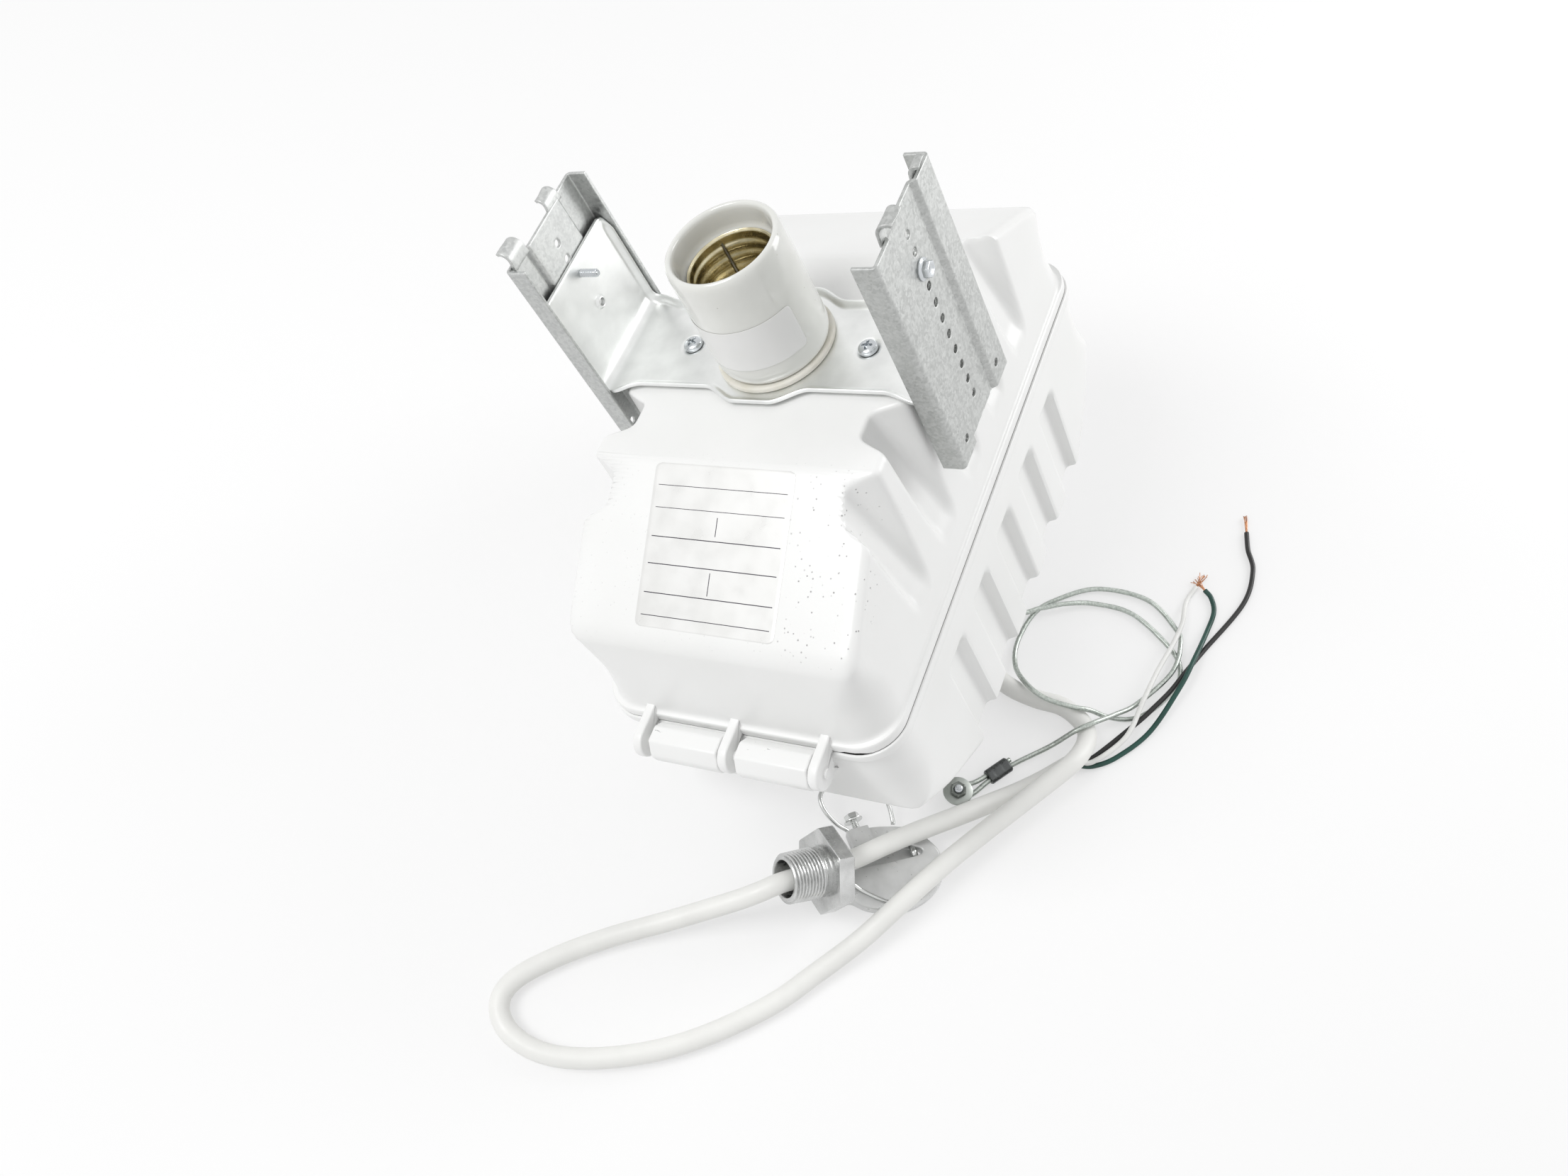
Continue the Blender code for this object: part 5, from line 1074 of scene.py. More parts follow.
# %% Rails
RAIL_THICK, RAIL_MID, RAIL_OUT, RAIL_HALF = 1.6, 89.9, 92.3, 32.3
RAIL_FLANGE, RAIL_TOP, RAIL_LENGTH, LAND_HOLE = 11.0, 178.05, 123.0, 22.0
web_x, land_x = RAIL_MID - RAIL_THICK / 2, RAIL_OUT - RAIL_THICK / 2
rail_y = RAIL_HALF - RAIL_THICK / 2
STEP = HOLE_PITCH / 10


def rail_section():
    """Half section as (x, y): web, step, land, bend and flange, with lines on the rows of holes."""
    web = np.stack([np.full(14, web_x), STEP * np.arange(14)], -1)
    y = np.array([13.2, 14.6, 14.9, 15.2, 15.8, 16.4, 16.7, 17.0])
    step = np.stack([web_x + (land_x - web_x) * eased(y, 14.7, 16.9), y], -1)
    y = LAND_HOLE + STEP * np.arange(-4, 9)
    land = np.stack([np.full(len(y), land_x), y], -1)
    r, angle = 1.5, np.linspace(0, np.pi / 2, 6)
    bend = np.stack([land_x - r + r * np.cos(angle), rail_y - r + r * np.sin(angle)], -1)
    x = np.linspace(land_x - r, RAIL_OUT - RAIL_FLANGE, 9)[1:]
    flange = np.stack([x, np.full(len(x), rail_y)], -1)
    return np.concatenate([web, step, land, bend, flange])


section = rail_section()
section = np.concatenate([section[:0:-1] * [1, -1], section])
first_hole = RAIL_TOP - 13.3
level = first_hole + STEP * np.arange(-115, 14)
level = np.concatenate([[RAIL_TOP - RAIL_LENGTH], level, [RAIL_TOP]])
ends_row = first_hole - 105 * STEP
holes = [(0.0, first_hole - i * HOLE_PITCH, 2.0, 2 * STEP) for i in range(11)]
holes += [(s * LAND_HOLE, ends_row, 2.0, 2 * STEP) for s in (-1, 1)]
size = (len(level), len(section))
flat_y, flat_z, kept = pierced(
    np.broadcast_to(section[:, 1], size), np.broadcast_to(level[:, None], size), holes
)
web = np.stack([np.broadcast_to(section[:, 0], size), flat_y, flat_z], -1)
TABS = {-1: ((12.0, 1.0), (-22.5, 1.25)), 1: ((-12.0, 1.35), (22.5, 0.75))}


def curled_tab(middle, size):
    """A tongue that leaves the web's top edge, leans out and curls over: straight, then an arc."""
    t, w = np.linspace(0, 1, 14)[:, None], np.linspace(-1, 1, 9)[None, :]
    turn = np.clip((t - 0.25) / 0.75, 0, 1) * math.radians(128)
    r = 3.1 * size
    z = RAIL_TOP - 2.0 + 4.0 * size * np.minimum(t / 0.25, 1) + r * np.sin(turn)
    x = web_x + 0.25 + r * (1 - np.cos(turn)) + 0.25 * np.sin(2.3 * w + middle) * t
    half = 5.4 * size**0.5 - 1.2 * t**2 + 0.5 * np.exp(-((t / 0.16) ** 2))
    return np.stack(np.broadcast_arrays(x, middle + half * w, z), -1)


# Each rail takes its own painted tone of the same sheet: lighter on the left, darker on the right.
for name, side, sheet_metal in (("left_rail", -1, SPANGLE_PAINTED_LIGHTER), ("right_rail", 1, SPANGLE)):
    grids = [(web, False, False, kept)] + [(curled_tab(*tab), False, False) for tab in TABS[side]]
    placed = [(laid(g[0] * [side, 1, 1] + [0, SOCKET_Y, 0]), *g[1:]) for g in grids]
    piece(
        name + "_channel", "lower_half", sheet_metal, *placed, slot="galvanised", stands_for=[name],
        wall=RAIL_THICK * MM, edge=0.0003,
    )

# %% [markdown]
# ## Screws
# Pan-head screws with a cross recess hold the bracket, hex washer-head screws hold the rails. A head
# is a disc in polar coordinates whose height is a dome less the recess. A thread is a tube whose
# radius is a wave that goes round once while it climbs one pitch.


# %% Screw shapes
def pan_head(at, axis, radius, height, turn):
    """Dome less a cross: the recess is deep where either arm is near its middle line."""
    rings = [np.linspace(0, 0.72, 26), np.linspace(0.76, 0.93, 6), [0.965, 0.985, 0.997, 1.0]]
    share, angle = np.concatenate(rings)[:, None], ring_angles(72)
    dome = height * (0.42 + 0.58 * np.sqrt(np.maximum(1 - share**2.6, 0)))
    p, q = share * np.cos(angle - turn), share * np.sin(angle - turn)
    arm = np.minimum(np.abs(p), np.abs(q))
    cross = (1 - eased(arm, 0.085, 0.15)) * (1 - eased(share, 0.50, 0.60))
    dome = dome - 0.62 * height * cross * (1 - 0.5 * share)
    top = about(at, axis, radius * share, angle, dome)
    skirt = turned([(0.99 * radius, 0.12), (0.95 * radius, 0), (0, 0)], at, axis, 72)
    return np.concatenate([top, skirt])


def hexagon_radius(angle, flats, turn):
    """Half the flats over the cosine of the way to the nearest flat."""
    return flats / 2 / np.cos((angle - turn + np.pi / 6) % (np.pi / 3) - np.pi / 6)


def hex_washer_head(at, axis, washer, flats, height, turn=0.35):
    """Flange disc under a hexagon with its corners eased."""
    angle = ring_angles(72)
    hexagon = np.minimum(hexagon_radius(angle, flats, turn), flats / 2 * 1.11)
    return stacked(at, axis, angle, [
        (0.0, height - 0.5), (0.45 * hexagon, height - 0.45), (0.62 * hexagon, height - 0.05),
        (0.8 * hexagon, height), (0.93 * hexagon, height - 0.15), (hexagon, height - 0.6),
        (hexagon, 1.5), (hexagon + 0.35, 1.15), (0.94 * washer, 0.95), (washer, 0.7),
        (washer, 0.25), (0.96 * washer, 0.0), (0.0, 0.0),
    ])


def thread(at, axis, radius, start, end, pitch, depth):
    """Radius less depth times a raised cosine of (turns less angle), tapered at the tip."""
    count = max(8, int(abs(end - start) / pitch * 9))
    h, angle = np.linspace(start, end, count)[:, None], ring_angles(24)
    wave = (0.5 + 0.5 * np.cos(2 * np.pi * h / pitch - angle)) ** 1.5
    share = np.abs(h - start) / abs(end - start)
    r = (radius - depth * wave) * (1 - 0.36 * eased(share, 0.9, 1.0))
    tip = about(at, axis, 0.0, angle, end)
    return np.concatenate([about(at, axis, r, angle, h), tip[None]])


def screw(name, solid, body, head, shank):
    """A plated screw in the place of its solid."""
    piece(
        name, body, SCREW_ZINC, laid_round(head), laid_round(shank),
        slot="zinc_steel", stands_for=[solid], sharp=42,
    )


plate_top = PLATE_LOW + PLATE_THICK
for name, s in (("left", -1), ("right", 1)):
    at = (s * PLATE_SCREW, SOCKET_Y, plate_top - 0.75)
    head = pan_head(at, UP, radius=4.6, height=3.2, turn=0.6 + s)
    shank = thread(at, UP, radius=2.0, start=0.0, end=-10.0, pitch=0.8, depth=0.3)
    screw(f"bracket_screw_{name}_pan", f"bracket_screw_{name}", "lower_half", head, shank)
    at, out = (s * RAIL_MID, SOCKET_Y, EAR_SCREW_Z), (s, 0, 0)
    head = hex_washer_head(at, out, washer=4.9, flats=7.0, height=4.2)
    shank = thread(at, out, radius=2.0, start=0.0, end=-14.0, pitch=1.06, depth=0.42)
    screw(f"{name}_rail_screw_hex", f"{name}_rail_screw", "lower_half", head, shank)
    at, closing = (s * EAR_AT, EAR_TIP - 7.0, 10.3), f"closing_screw_{name}"
    head = pan_head(at, UP, radius=5.5, height=3.0, turn=0.2)
    shank = thread(at, UP, radius=2.45, start=0.0, end=-20.3, pitch=1.0, depth=0.35)
    screw(closing + "_pan", closing, closing, head, shank)

# %% [markdown]
# ## Socket
# A mogul screw socket: a glazed porcelain cylinder on a cream base ring, with a rolled screw shell
# set back below the mouth. Everything is turned, but the porcelain was pressed by hand, so its foot
# lifts a little on one side. The shell's thread climbs 6.35 mm in a turn.


# %% Porcelain
SOCKET_LOW = 97.7
socket_foot, ring_angle = (0, SOCKET_Y, SOCKET_LOW), ring_angles(128)
porcelain_profile = np.array([
    (0, 3.0), (25.6, 3.0), (26.5, 3.25), (27.1, 4.2), (27.45, 6.0), (27.55, 9.0), (27.55, 16.0),
    (27.5, 30.0), (27.45, 46.0), (27.4, 58.0), (27.3, 61.2), (27.0, 63.2), (26.45, 64.6),
    (25.7, 65.35), (24.9, 65.45), (24.2, 65.0), (23.65, 64.1), (23.4, 62.6), (23.25, 59.5),
    (23.15, 56.0), (22.9, 53.8), (22.3, 52.7), (21.8, 52.2), (21.5, 51.4), (21.4, 49.0),
    (21.4, 36.0), (21.4, 17.0), (20.4, 15.6), (0, 15.5),
])
r, h = porcelain_profile[:, :1], porcelain_profile[:, 1:]
from_lift = np.angle(np.exp(1j * (ring_angle - math.radians(62))))
h = h + 1.7 * np.exp(-((from_lift / 0.55) ** 2)) * np.clip((7.0 - h) / 4.0, 0, 1)
pressed = r + 0.07 * np.sin(2 * ring_angle + 0.7) * np.clip(h / 10, 0, 1) * (r > 5)
piece(
    "porcelain_body", "lower_half", PORCELAIN, laid_round(about(socket_foot, UP, pressed, ring_angle, h)),
    slot="porcelain", stands_for=["socket_body"], sharp=60,
)


def cream_ring_finish():
    """Unglazed steatite: cream, dry, a little stained."""
    made, node, shader = finish("cream_steatite", (0.74, 0.72, 0.65), rough=0.5)
    set_to(shader, "Base Color", tint(node, noise(node, 120, 4), (0.68, 0.655, 0.575), (0.77, 0.755, 0.70)))
    relief(node, shader, noise(node, 900, 3), 0.00006, 0.4)
    return made


foot_ring = [(0, 0), (28.2, 0), (28.9, 0.5), (28.9, 2.0), (28.5, 2.55), (27.9, 2.75), (26.0, 2.8), (0, 2.8)]
piece(
    "base_ring", "lower_half", cream_ring_finish(), laid_round(turned(foot_ring, socket_foot, ring=96)),
    slot="porcelain", sharp=60,
)

# %% Screw shell
SHELL_RADIUS, SHELL_PITCH, SHELL_LOW, SHELL_TOP = 20.5, 6.35, 113.5, 151.2
h = np.linspace(SHELL_LOW, SHELL_TOP, 120)[:, None]
angle = ring_angles(144)[None, :]
wave = 0.5 + 0.5 * np.cos(2 * np.pi * (h - SHELL_LOW) / SHELL_PITCH - angle)
fade = eased(h, SHELL_LOW, SHELL_LOW + 3) * (1 - eased(h, SHELL_TOP - 5.5, SHELL_TOP - 3.2))
lip = 0.9 * eased(h, SHELL_TOP - 1.6, SHELL_TOP) ** 2
shell_r = SHELL_RADIUS - 0.35 - 1.15 * wave * fade + lip
shell = about((0, SOCKET_Y, 0), UP, shell_r, angle, h)
way = np.abs(np.angle(np.exp(1j * (angle - math.radians(310))))) * SHELL_RADIUS
slit = (way < 0.75) & (h < SHELL_TOP - 3.5) & (h > SHELL_LOW + 6)
kept = ~(slit[:-1] | slit[1:])
cup = [
    (SHELL_RADIUS - 0.35, SHELL_LOW), (SHELL_RADIUS - 1.2, SHELL_LOW - 0.15),
    (17.0, SHELL_LOW + 0.1), (10.2, SHELL_LOW + 0.1),
]
floor_plate = turned(cup, (0, SOCKET_Y, 0), ring=96)
piece(
    "rolled_shell", "lower_half", NICKEL, (*laid_round(shell), kept), laid_round(floor_plate),
    slot="nickel_brass", stands_for=["screw_shell"], wall=0.0005,
)

# %% [markdown]
# ## Label and sticker
# Two adhesive films. The silver one on the slope has plain ruled lines, the white one goes round
# the porcelain and is blank. Each is a patch that lies a hair above what it is stuck to, so the
# silver one asks the casting's own distance how high that is.


# %% Label and sticker
def film(u_half, v_half, corner, count_u, count_v):
    """Rounded rectangle as a grid: each row is as wide as the corner arcs allow there."""
    ends = np.linspace(0.9, 1, 7)[1:]
    v = np.concatenate([-ends[::-1], np.linspace(-0.9, 0.9, count_v), ends]) * v_half
    over = np.clip(np.abs(v) - (v_half - corner), 0, corner)
    half = u_half - corner + np.sqrt(np.maximum(corner**2 - over**2, 0))
    u = np.linspace(-1, 1, count_u)[None, :] * half[:, None]
    return u, np.broadcast_to(v[:, None], u.shape)


def label_finish():
    """Silvered film: soft sheen, handling creases, and ruled lines on the surface's own map."""
    made, node, shader = finish("silver_label", (0.74, 0.74, 0.73), 0.2, 0.34)
    at = node("SeparateXYZ", in_vector=node("UVMap").outputs[0])
    across, down = at.outputs[0], at.outputs[1]

    def rule(value, place, half):
        """1 within half of a place, and 0 elsewhere."""
        off = reckon(node, "ABSOLUTE", reckon(node, "SUBTRACT", value, place))
        return reckon(node, "LESS_THAN", off, half)

    lines = rule(down, 0.125, 0.0022)
    for place in (0.245, 0.40, 0.545, 0.70, 0.82):
        line = rule(down, place, 0.0018 if place > 0.6 else 0.0026)
        lines = reckon(node, "MAXIMUM", lines, line)
    lines = reckon(node, "MULTIPLY", rule(across, 0.5, 0.462), lines)
    spans = reckon(node, "MAXIMUM", rule(down, 0.32, 0.06), rule(down, 0.62, 0.05))
    upright = reckon(node, "MULTIPLY", rule(across, 0.5, 0.003), spans)
    ink = reckon(node, "MAXIMUM", lines, upright)
    sheen = tint(node, noise(node, 45, 5), (0.715, 0.715, 0.70), (0.75, 0.75, 0.74))
    set_to(shader, "Base Color", covered(node, ink, sheen, (0.05, 0.045, 0.06)))
    set_to(shader, "Roughness", ramp(node, noise(node, 90, 4), 0.26, 0.44))
    relief(node, shader, noise(node, 60, 4), 0.0003, 0.10)
    return made


LABEL_HALF, LABEL_LENGTH, STICKER_RADIUS, STICKER_RISE = 37.0, 76.0, 27.7, 26.0
tilt = math.atan2(LOWER_HEIGHT - LOWER_SKIRT, LOWER_SLOPE)
slope_top = np.array([0, RIM_FRONT + 1.5 * RIM_STEP + LOWER_LEAN + LOWER_SLOPE, LOWER_HEIGHT])
slope_up = np.array([0, math.cos(tilt), math.sin(tilt)])
slope_out = np.array([0, -math.sin(tilt), math.cos(tilt)])
u, v = film(LABEL_HALF, (LABEL_LENGTH - 1) / 2, corner=3.0, count_u=41, count_v=46)
down = v - (LABEL_LENGTH + 1) / 2
sheet = slope_top + u[..., None] * np.array([1.0, 0, 0]) + down[..., None] * slope_up
for _ in range(3):
    gap = lower_distance(*np.moveaxis(sheet, -1, 0)) - 0.07
    sheet = sheet - gap[..., None] * slope_out
piece(
    "label_film", "lower_half", label_finish(), (laid(sheet), False, False),
    slot="label", stands_for=["rating_plate"], wall=0.00012, edge=0.00003,
)

PAPER = soft_plastic("white_sticker", (0.80, 0.80, 0.79), rough=0.4, grime=0.97)
u, v = film(STICKER_RADIUS * math.radians(62), 12.0, corner=2.6, count_u=60, count_v=20)
angle = u / STICKER_RADIUS + math.radians(98)
r = STICKER_RADIUS + 0.02 + 0.12 * eased(np.abs(u), 26, 30)
sticker = about(socket_foot, UP, r, angle, v + STICKER_RISE)
piece("socket_sticker", "lower_half", PAPER, (laid(sticker), False, False), slot="label", wall=0.00015)

# %% [markdown]
# ## Hook
# A cast aluminium hook with a pipe-thread nipple, a hexagon for the wrench and a flat C-shaped arm.
# The cord passes through the bored nipple. The thread is a taper pipe thread, fourteen to the
# inch. The arm is a rounded section carried between an inner and an outer edge curve.


# %% Nipple and hexagon
HOOK_AT, HOOK_TURN = on_floor((34.1, -19.9, 0.0))[0], math.radians(43)
NIPPLE_LENGTH, NIPPLE_BORE, HEX_FLATS, HEX_LENGTH = 21.0, 9.4, 40.0, 9.0
NIPPLE_RISE, NIPPLE_TURN, HEX_ROLL = math.radians(24), math.radians(40.2), math.radians(38)
HEX_CORNER = HEX_FLATS / math.sqrt(3)
hex_foot = -HEX_CORNER * np.sin(HEX_ROLL + np.radians(60.0 * np.arange(6))).min()
nipple_z = 0.3 + (NIPPLE_LENGTH + HEX_LENGTH) * math.sin(NIPPLE_RISE) + hex_foot * math.cos(NIPPLE_RISE)
NIPPLE_AT = on_floor((35.4, -24.2, nipple_z))[0]


def turned_by(turn, points):
    """Points turned about the vertical."""
    c, s = math.cos(turn), math.sin(turn)
    x, y, z = np.moveaxis(points, -1, 0)
    return np.stack([c * x - s * y, s * x + c * y, z], -1)


def on_hook(points):
    """Millimetres of the arm, which lies flat, to metres on the floor."""
    return HOOK_AT + turned_by(HOOK_TURN, np.asarray(points, float) * MM)


def on_nipple(points):
    """Millimetres of the nipple, whose axis x points up from the floor, to metres."""
    x, y, z = np.moveaxis(np.asarray(points, float) * MM, -1, 0)
    c, s = math.cos(NIPPLE_RISE), math.sin(NIPPLE_RISE)
    raised = np.stack([c * x + s * z, y, c * z - s * x], -1)
    return NIPPLE_AT + turned_by(NIPPLE_TURN, raised)


PIPE_PITCH, HEX_EDGE = 25.4 / 14, 0.7
ring_turn = HEX_ROLL + ring_angles(96)[None, :]


def round_nipple(x, r):
    """Points at way x and radius r round the nipple's axis; both are columns or full grids."""
    return np.stack(np.broadcast_arrays(x, r * np.cos(ring_turn), r * np.sin(ring_turn)), -1)


x = np.linspace(0.9, 18.0, 130)[:, None]
crest = np.abs(((x / PIPE_PITCH - ring_turn / (2 * np.pi)) % 1.0) * 2 - 1)
runout = 1 - 0.85 * eased(x, 16.0, 18.0)
thread_r = 12.8 + 0.03 * x - 1.05 * (1 - np.clip(crest * 1.25, 0, 1)) * runout
mouth = np.array([
    (0.9, 12.0), (0.35, 11.7), (0.0, 11.2), (0.0, 10.2), (0.3, 9.7), (1.0, NIPPLE_BORE),
    (12.0, NIPPLE_BORE), (22.0, NIPPLE_BORE), (22.0, 12.2),
])
neck = np.array([(22.0, 12.9), (20.4, 12.8), (19.3, 12.6), (18.6, 12.75)])
nipple = np.concatenate([
    round_nipple(neck[:, :1], neck[:, 1:]), round_nipple(x, thread_r)[::-1],
    round_nipple(mouth[:, :1], mouth[:, 1:]),
])
hexagon = hexagon_radius(ring_turn, HEX_FLATS, HEX_ROLL + np.pi / 6)
across = np.array([0.0, 0.12, 0.35, 0.7, 1.2, 4.5, 7.8, 8.3, 8.65, 8.88, 9.0])[:, None]
edge = np.clip(HEX_EDGE - np.minimum(across, HEX_LENGTH - across), 0, HEX_EDGE)
hex_side = np.minimum(hexagon, HEX_CORNER - 0.3) - HEX_EDGE + np.sqrt(HEX_EDGE**2 - edge**2)
inner = np.array([
    (HEX_LENGTH, 15.0), (HEX_LENGTH, 10.2), (HEX_LENGTH - 0.6, NIPPLE_BORE), (0.6, NIPPLE_BORE),
    (0.0, 10.0), (0.0, 15.0),
])
hex_rows = np.concatenate([
    round_nipple(NIPPLE_LENGTH + across, hex_side),
    round_nipple(NIPPLE_LENGTH + inner[:, :1], inner[:, 1:]),
])
print("nipple", nipple.shape, "hexagon", hex_rows.shape)

# %% Hook arm
def flat_line(*points):
    """Points (x, y) of the lying arm, at height nought."""
    return np.column_stack([np.array(points, float), np.zeros(len(points))])


outer_edge = smooth(flat_line(
    (16, -19), (24, -20.0), (29, -21.6), (34.7, -27.6), (46, -34.0), (57.6, -36.0), (70, -33.3),
    (79.0, -26.3), (82.1, -15.4), (79.6, -6.5), (73.2, 3), (60, 9.4), (49, 12.3), (41, 12.5),
), 8)
inner_edge = smooth(flat_line(
    (16, 2), (22, 1.6), (27, -3.0), (31, -5.2), (40, -6.9), (50, -8.6), (62, -10.6),
    (71, -12.0), (73.8, -10.6), (72.6, -8.4), (68, -5), (58, 0), (50, 2.4), (41, 4),
), 8)


def evenly(curve, count):
    """The curve read again at even steps of its own length."""
    run = run_along(curve)
    want = np.linspace(0, run[-1], count)
    return np.stack([np.interp(want, run, curve[:, k]) for k in range(3)], -1)


def rounded_bar(outer, inner, low, high, corner, bend=4):
    """A rectangle with arcs for corners, carried along two edge curves and closed at both ends."""
    middle, spread = (outer + inner) / 2, (outer - inner) / 2
    half = np.linalg.norm(spread, axis=1, keepdims=True)
    arc = np.linspace(0, np.pi / 2, bend + 1)
    turn = np.concatenate([arc + k * np.pi / 2 for k in range(4)])
    quarter = np.repeat(np.array([[1, 1], [-1, 1], [-1, -1], [1, -1]]), bend + 1, 0)
    a = quarter[:, 0] * (half - corner) + corner * np.cos(turn)
    b = quarter[:, 1] * ((high - low) / 2 - corner) + corner * np.sin(turn)
    rows = middle[:, None] + (a / half)[..., None] * spread[:, None]
    rows[..., 2] += b + (low + high) / 2
    caps = [np.repeat(rows[k].mean(0)[None, None], len(turn), 1) for k in (0, -1)]
    return np.concatenate([caps[0], rows, caps[1]])


arm = rounded_bar(evenly(outer_edge, 110), evenly(inner_edge, 110), 0.6, 9.1, 1.3)
boss_near = flat_line((40.8, 3.6), (46.0, 2.9), (52.5, 1.6))
boss_far = flat_line((40.8, 13.4), (46.0, 13.4), (52.5, 12.4))
boss = rounded_bar(boss_far, boss_near, 0.6, 11.4, 0.6)
# A thin sheet, 0.7 to 2 mm above the floor, closes the bottom of the slot between the arm's runs, so the
# slot shows metal and not the pale floor.
slot_sheet_near = flat_line((32, -6.4), (40, -7.6), (50, -9.3), (62, -11.2), (71.5, -12.6))
slot_sheet_far = flat_line((36, 5.4), (42, 4.8), (50, 3.2), (58, 0.8), (71.5, -7.2))
slot_bottom_sheet = rounded_bar(evenly(slot_sheet_near, 12), evenly(slot_sheet_far, 12), 0.7, 2.0, 0.4)
piece(
    "cast_hook", "upper_half", HOOK_METAL, (on_nipple(nipple), True, True),
    (on_nipple(hex_rows), True, True), slot="bare_aluminium", stands_for=["hook_body"], sharp=32,
)
# The arm and its boss take the copy of the hook casting that is painted lighter.
arm_grids = [wrapped(on_hook(g)) for g in (arm, boss, slot_bottom_sheet)]
piece("hook_arm", "upper_half", ARM_METAL_PAINTED_LIGHTER, *arm_grids, slot="bare_aluminium", sharp=32)
BRIGHT_WIRE = zinc("bright_wire", (0.66, 0.67, 0.66), rough=0.2, scratch=0.04)
keeper_line = [
    (31.4, -12.6, 14.6), (33.2, -15.0, 12.0), (36.5, -19.4, 10.4), (44.5, -28.0, 10.1),
    (50.0, -31.6, 10.1),
]
keeper_pin = np.array([(69.4, -12.4, 6.4), (70.4, -5.4, 6.4)])
keeper_tubes = tube(smooth(keeper_line, 8), 1.0, 14), tube(keeper_pin, 1.9, 18)
keeper_grids = [wrapped(on_hook(g)) for g in keeper_tubes]
piece("hook_keeper", "upper_half", BRIGHT_WIRE, *keeper_grids, slot="zinc_steel")

# %% [markdown]
# The latch is one bent wire that swings on the boss of the arm. A hex bolt goes through the boss.

# %% Latch wire and hook bolt
latch_points = [
    (42.4, 8.0, 4.9), (43.2, 11.0, 4.9), (42.4, 14.6, 5.7), (38.0, 19.6, 8.6), (35.0, 26.0, 10.9),
    (34.2, 32.0, 12.3), (35.8, 36.6, 13.0), (40.6, 39.2, 13.5), (50.0, 40.0, 13.8),
    (60.0, 38.0, 13.0), (66.5, 31.0, 11.0), (68.0, 20.0, 7.5), (67.0, 11.5, 5.2),
    (66.2, 9.2, 4.9),
]
piece(
    "latch_loop", "latch_wire", BRIGHT_WIRE, wrapped(on_hook(tube(smooth(latch_points, 10), 1.2))),
    slot="zinc_steel", stands_for=["latch_wire"],
)
bolt_at, bolt_way = (47.5, 18.6, 4.85), (0, 1, 0)
bolt_head = hex_washer_head(bolt_at, bolt_way, washer=5.2, flats=7.4, height=4.2, turn=0.1)
bolt_thread = thread(bolt_at, bolt_way, radius=2.0, start=0.0, end=-18.6, pitch=0.9, depth=0.3)
piece(
    "hook_bolt_hex", "upper_half", BRIGHT_WIRE, wrapped(on_hook(bolt_head)), wrapped(on_hook(bolt_thread)),
    slot="zinc_steel", stands_for=["hook_bolt"], sharp=42,
)

# %% [markdown]
# ## Cable fittings
# The eye of the cable is held by a bolt, a wide washer and a nut, and closed by a crimped sleeve.
# The sleeve is oval, because two runs of the cable lie side by side in it.

# %% Cable fittings
DARK_STEEL = zinc("dark_plated_bolt", (0.20, 0.215, 0.20), rough=0.32)
CRIMP_METAL = zinc("dark_crimp_sleeve", (0.11, 0.115, 0.115), rough=0.24)
DULL_ZINC = zinc("dull_zinc_washer", (0.42, 0.445, 0.42), rough=0.40)
EYE_AT = on_floor((103.0, 61.3, 0.0))[0] / MM


def squared(value, power):
    """A sine or cosine swollen towards its ends: its sign times its size to a power."""
    return np.sign(value) * np.abs(value) ** power


washer_profile = [(2.6, 6.4), (7.6, 6.4), (8.0, 6.6), (8.0, 7.2), (7.6, 7.45), (2.6, 7.45)]
washer_skin = turned(washer_profile, EYE_AT, ring=48) * MM
washer = piece(
    "fender_washer", "upper_half", DULL_ZINC, (washer_skin, True, True),
    slot="zinc_steel", stands_for=["cable_washer"], sharp=50,
)
angle = ring_angles(72)
nut_r = np.minimum(hexagon_radius(angle, 8.0, 0.3), 4.46)
nut_rows = [
    (2.3, 7.7), (0.93 * nut_r, 7.7), (nut_r, 8.0), (nut_r, 10.2), (0.9 * nut_r, 10.6),
    (2.7, 10.6), (2.3, 10.3),
]
nut = piece(
    "cable_nut_hex", "upper_half", DARK_STEEL, (stacked(EYE_AT, UP, angle, nut_rows) * MM, True, True),
    slot="zinc_steel", stands_for=["cable_nut"], sharp=42,
)
stud = thread(EYE_AT, UP, radius=2.2, start=2.0, end=12.8, pitch=0.8, depth=0.3)
head = turned([(0, 0.3), (3.8, 0.3), (4.2, 0.6), (4.2, 2.3), (3.8, 2.6), (0, 2.6)], EYE_AT, ring=48)
bolt = piece(
    "cable_bolt_stud", "upper_half", SCREW_ZINC, wrapped(stud * MM), wrapped(head * MM),
    slot="zinc_steel", stands_for=["cable_bolt"], sharp=50,
)
upward = np.cross(beside, heading)
t, angle = np.linspace(0, 1, 25)[:, None, None], ring_angles(40)[:, None]
crimp = 1 - 0.09 * sum(np.exp(-(((t - place) / 0.07) ** 2)) for place in (0.3, 0.7))
pinch = 1 - 0.10 * np.exp(-((np.minimum(t, 1 - t) / 0.02) ** 2))
oval = 0.0043 * squared(np.cos(angle), 0.75) * beside
oval = oval + 0.0028 * squared(np.sin(angle), 0.85) * crimp * upward
outside = FERRULE[0] + t * (FERRULE[1] - FERRULE[0]) + oval * pinch
mouth = [FERRULE[k] + 0.68 * (outside[-k] - FERRULE[k])[None] for k in (0, 1)]
lead_in = 0.001 * heading
sleeve = np.concatenate([mouth[0] + lead_in, mouth[0], outside, mouth[1], mouth[1] - lead_in])
ferrule = piece(
    "crimped_ferrule", "upper_half", CRIMP_METAL, (sleeve, True, True),
    slot="black_rubber", stands_for=["cable_ferrule"],
)

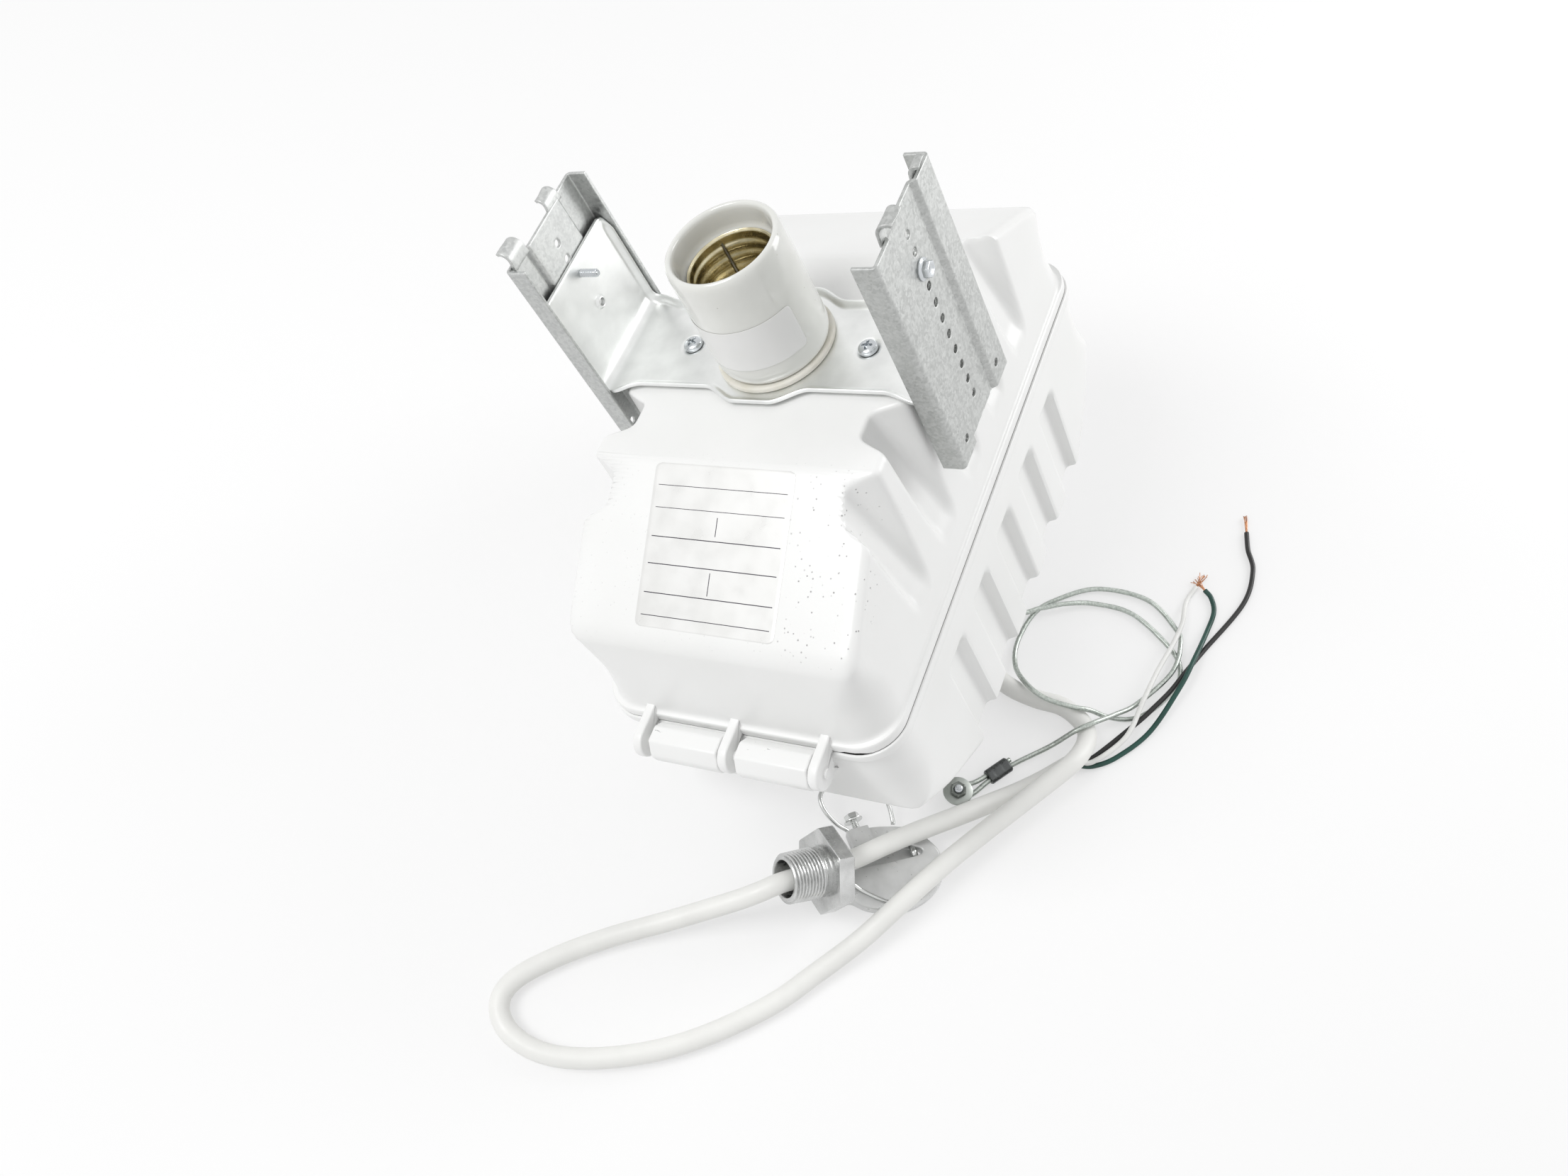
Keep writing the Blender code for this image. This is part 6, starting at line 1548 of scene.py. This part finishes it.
# %% [markdown]
# Each wire ends in seven fine copper strands that keep their lay and spread a little.

# %% Copper ends
STRIPPED = {
    "black_wire": (0.0115, 0.0008), "white_wire": (0.0095, 0.0030), "green_wire": (0.0085, 0.0034),
}
STRAND_RADIUS, STRAND_LAY = 0.00022, 0.00046


def strands(path, length, fan, turn):
    """Seven fine wires from a cut end: the centre line plus a turning offset that grows."""
    ahead = unit(path[-1] - path[-4])
    side = unit(np.cross(ahead, (0, 0, 1.0)))
    t = np.linspace(-0.15, 1, 14)[:, None]
    made = []
    for k in range(7):
        phase = turn + 2 * np.pi * k / 6 + 1.6 * t
        spread = fan * (0.5 + 0.5 * math.sin(2.4 * k + turn))
        out = (0.0 if k == 6 else STRAND_LAY) + spread * np.clip(t, 0, 1) ** 2
        swing = np.cos(phase) * side + np.sin(phase) * np.array([0, 0, 0.8])
        line = path[-1] + length * t * ahead + out * swing
        line[:, 2] = np.maximum(line[:, 2], 0.0004)
        made.append(wrapped(tube(line, STRAND_RADIUS, 8)))
    return made


for name, (length, fan) in STRIPPED.items():
    copper = strands(wire_paths[name], length, fan, len(name))
    piece(name + "_copper", "upper_half", COPPER, *copper, slot="copper")

# %% [markdown]
# ## Pieces whose solid is right
# Small screws, pins and the parts inside the closed housing keep their solid and take a finish.

# %% Finishes on the solids
dressed = {
    RUBBER: ["gasket", "hub_bushing"],
    WHITE: ["hinge_pin_left", "hinge_pin_right"],
    SCREW_ZINC: [n for n in nodes if n.startswith(("socket_screw", "strap_screw", "ballast_bolt"))]
    + ["ignitor_screw", "terminal_screw", "cable_anchor"],
    BRACKET_ZINC: ["ballast_bracket_left", "ballast_bracket_right"],
    SPANGLE: ["capacitor_strap"],
    NICKEL: ["centre_contact"],
    ALUMINIUM: ["capacitor"],
    IRON: ["ballast_core"],
    WINDING: ["ballast_coil"],
    GREY_PLASTIC: ["ignitor", "terminal_block"],
}
for paint, names in dressed.items():
    for name in names:
        data = nodes[name].data
        data.materials.clear()
        data.materials.append(paint)
print("solids with a finish:", sum(len(v) for v in dressed.values()))
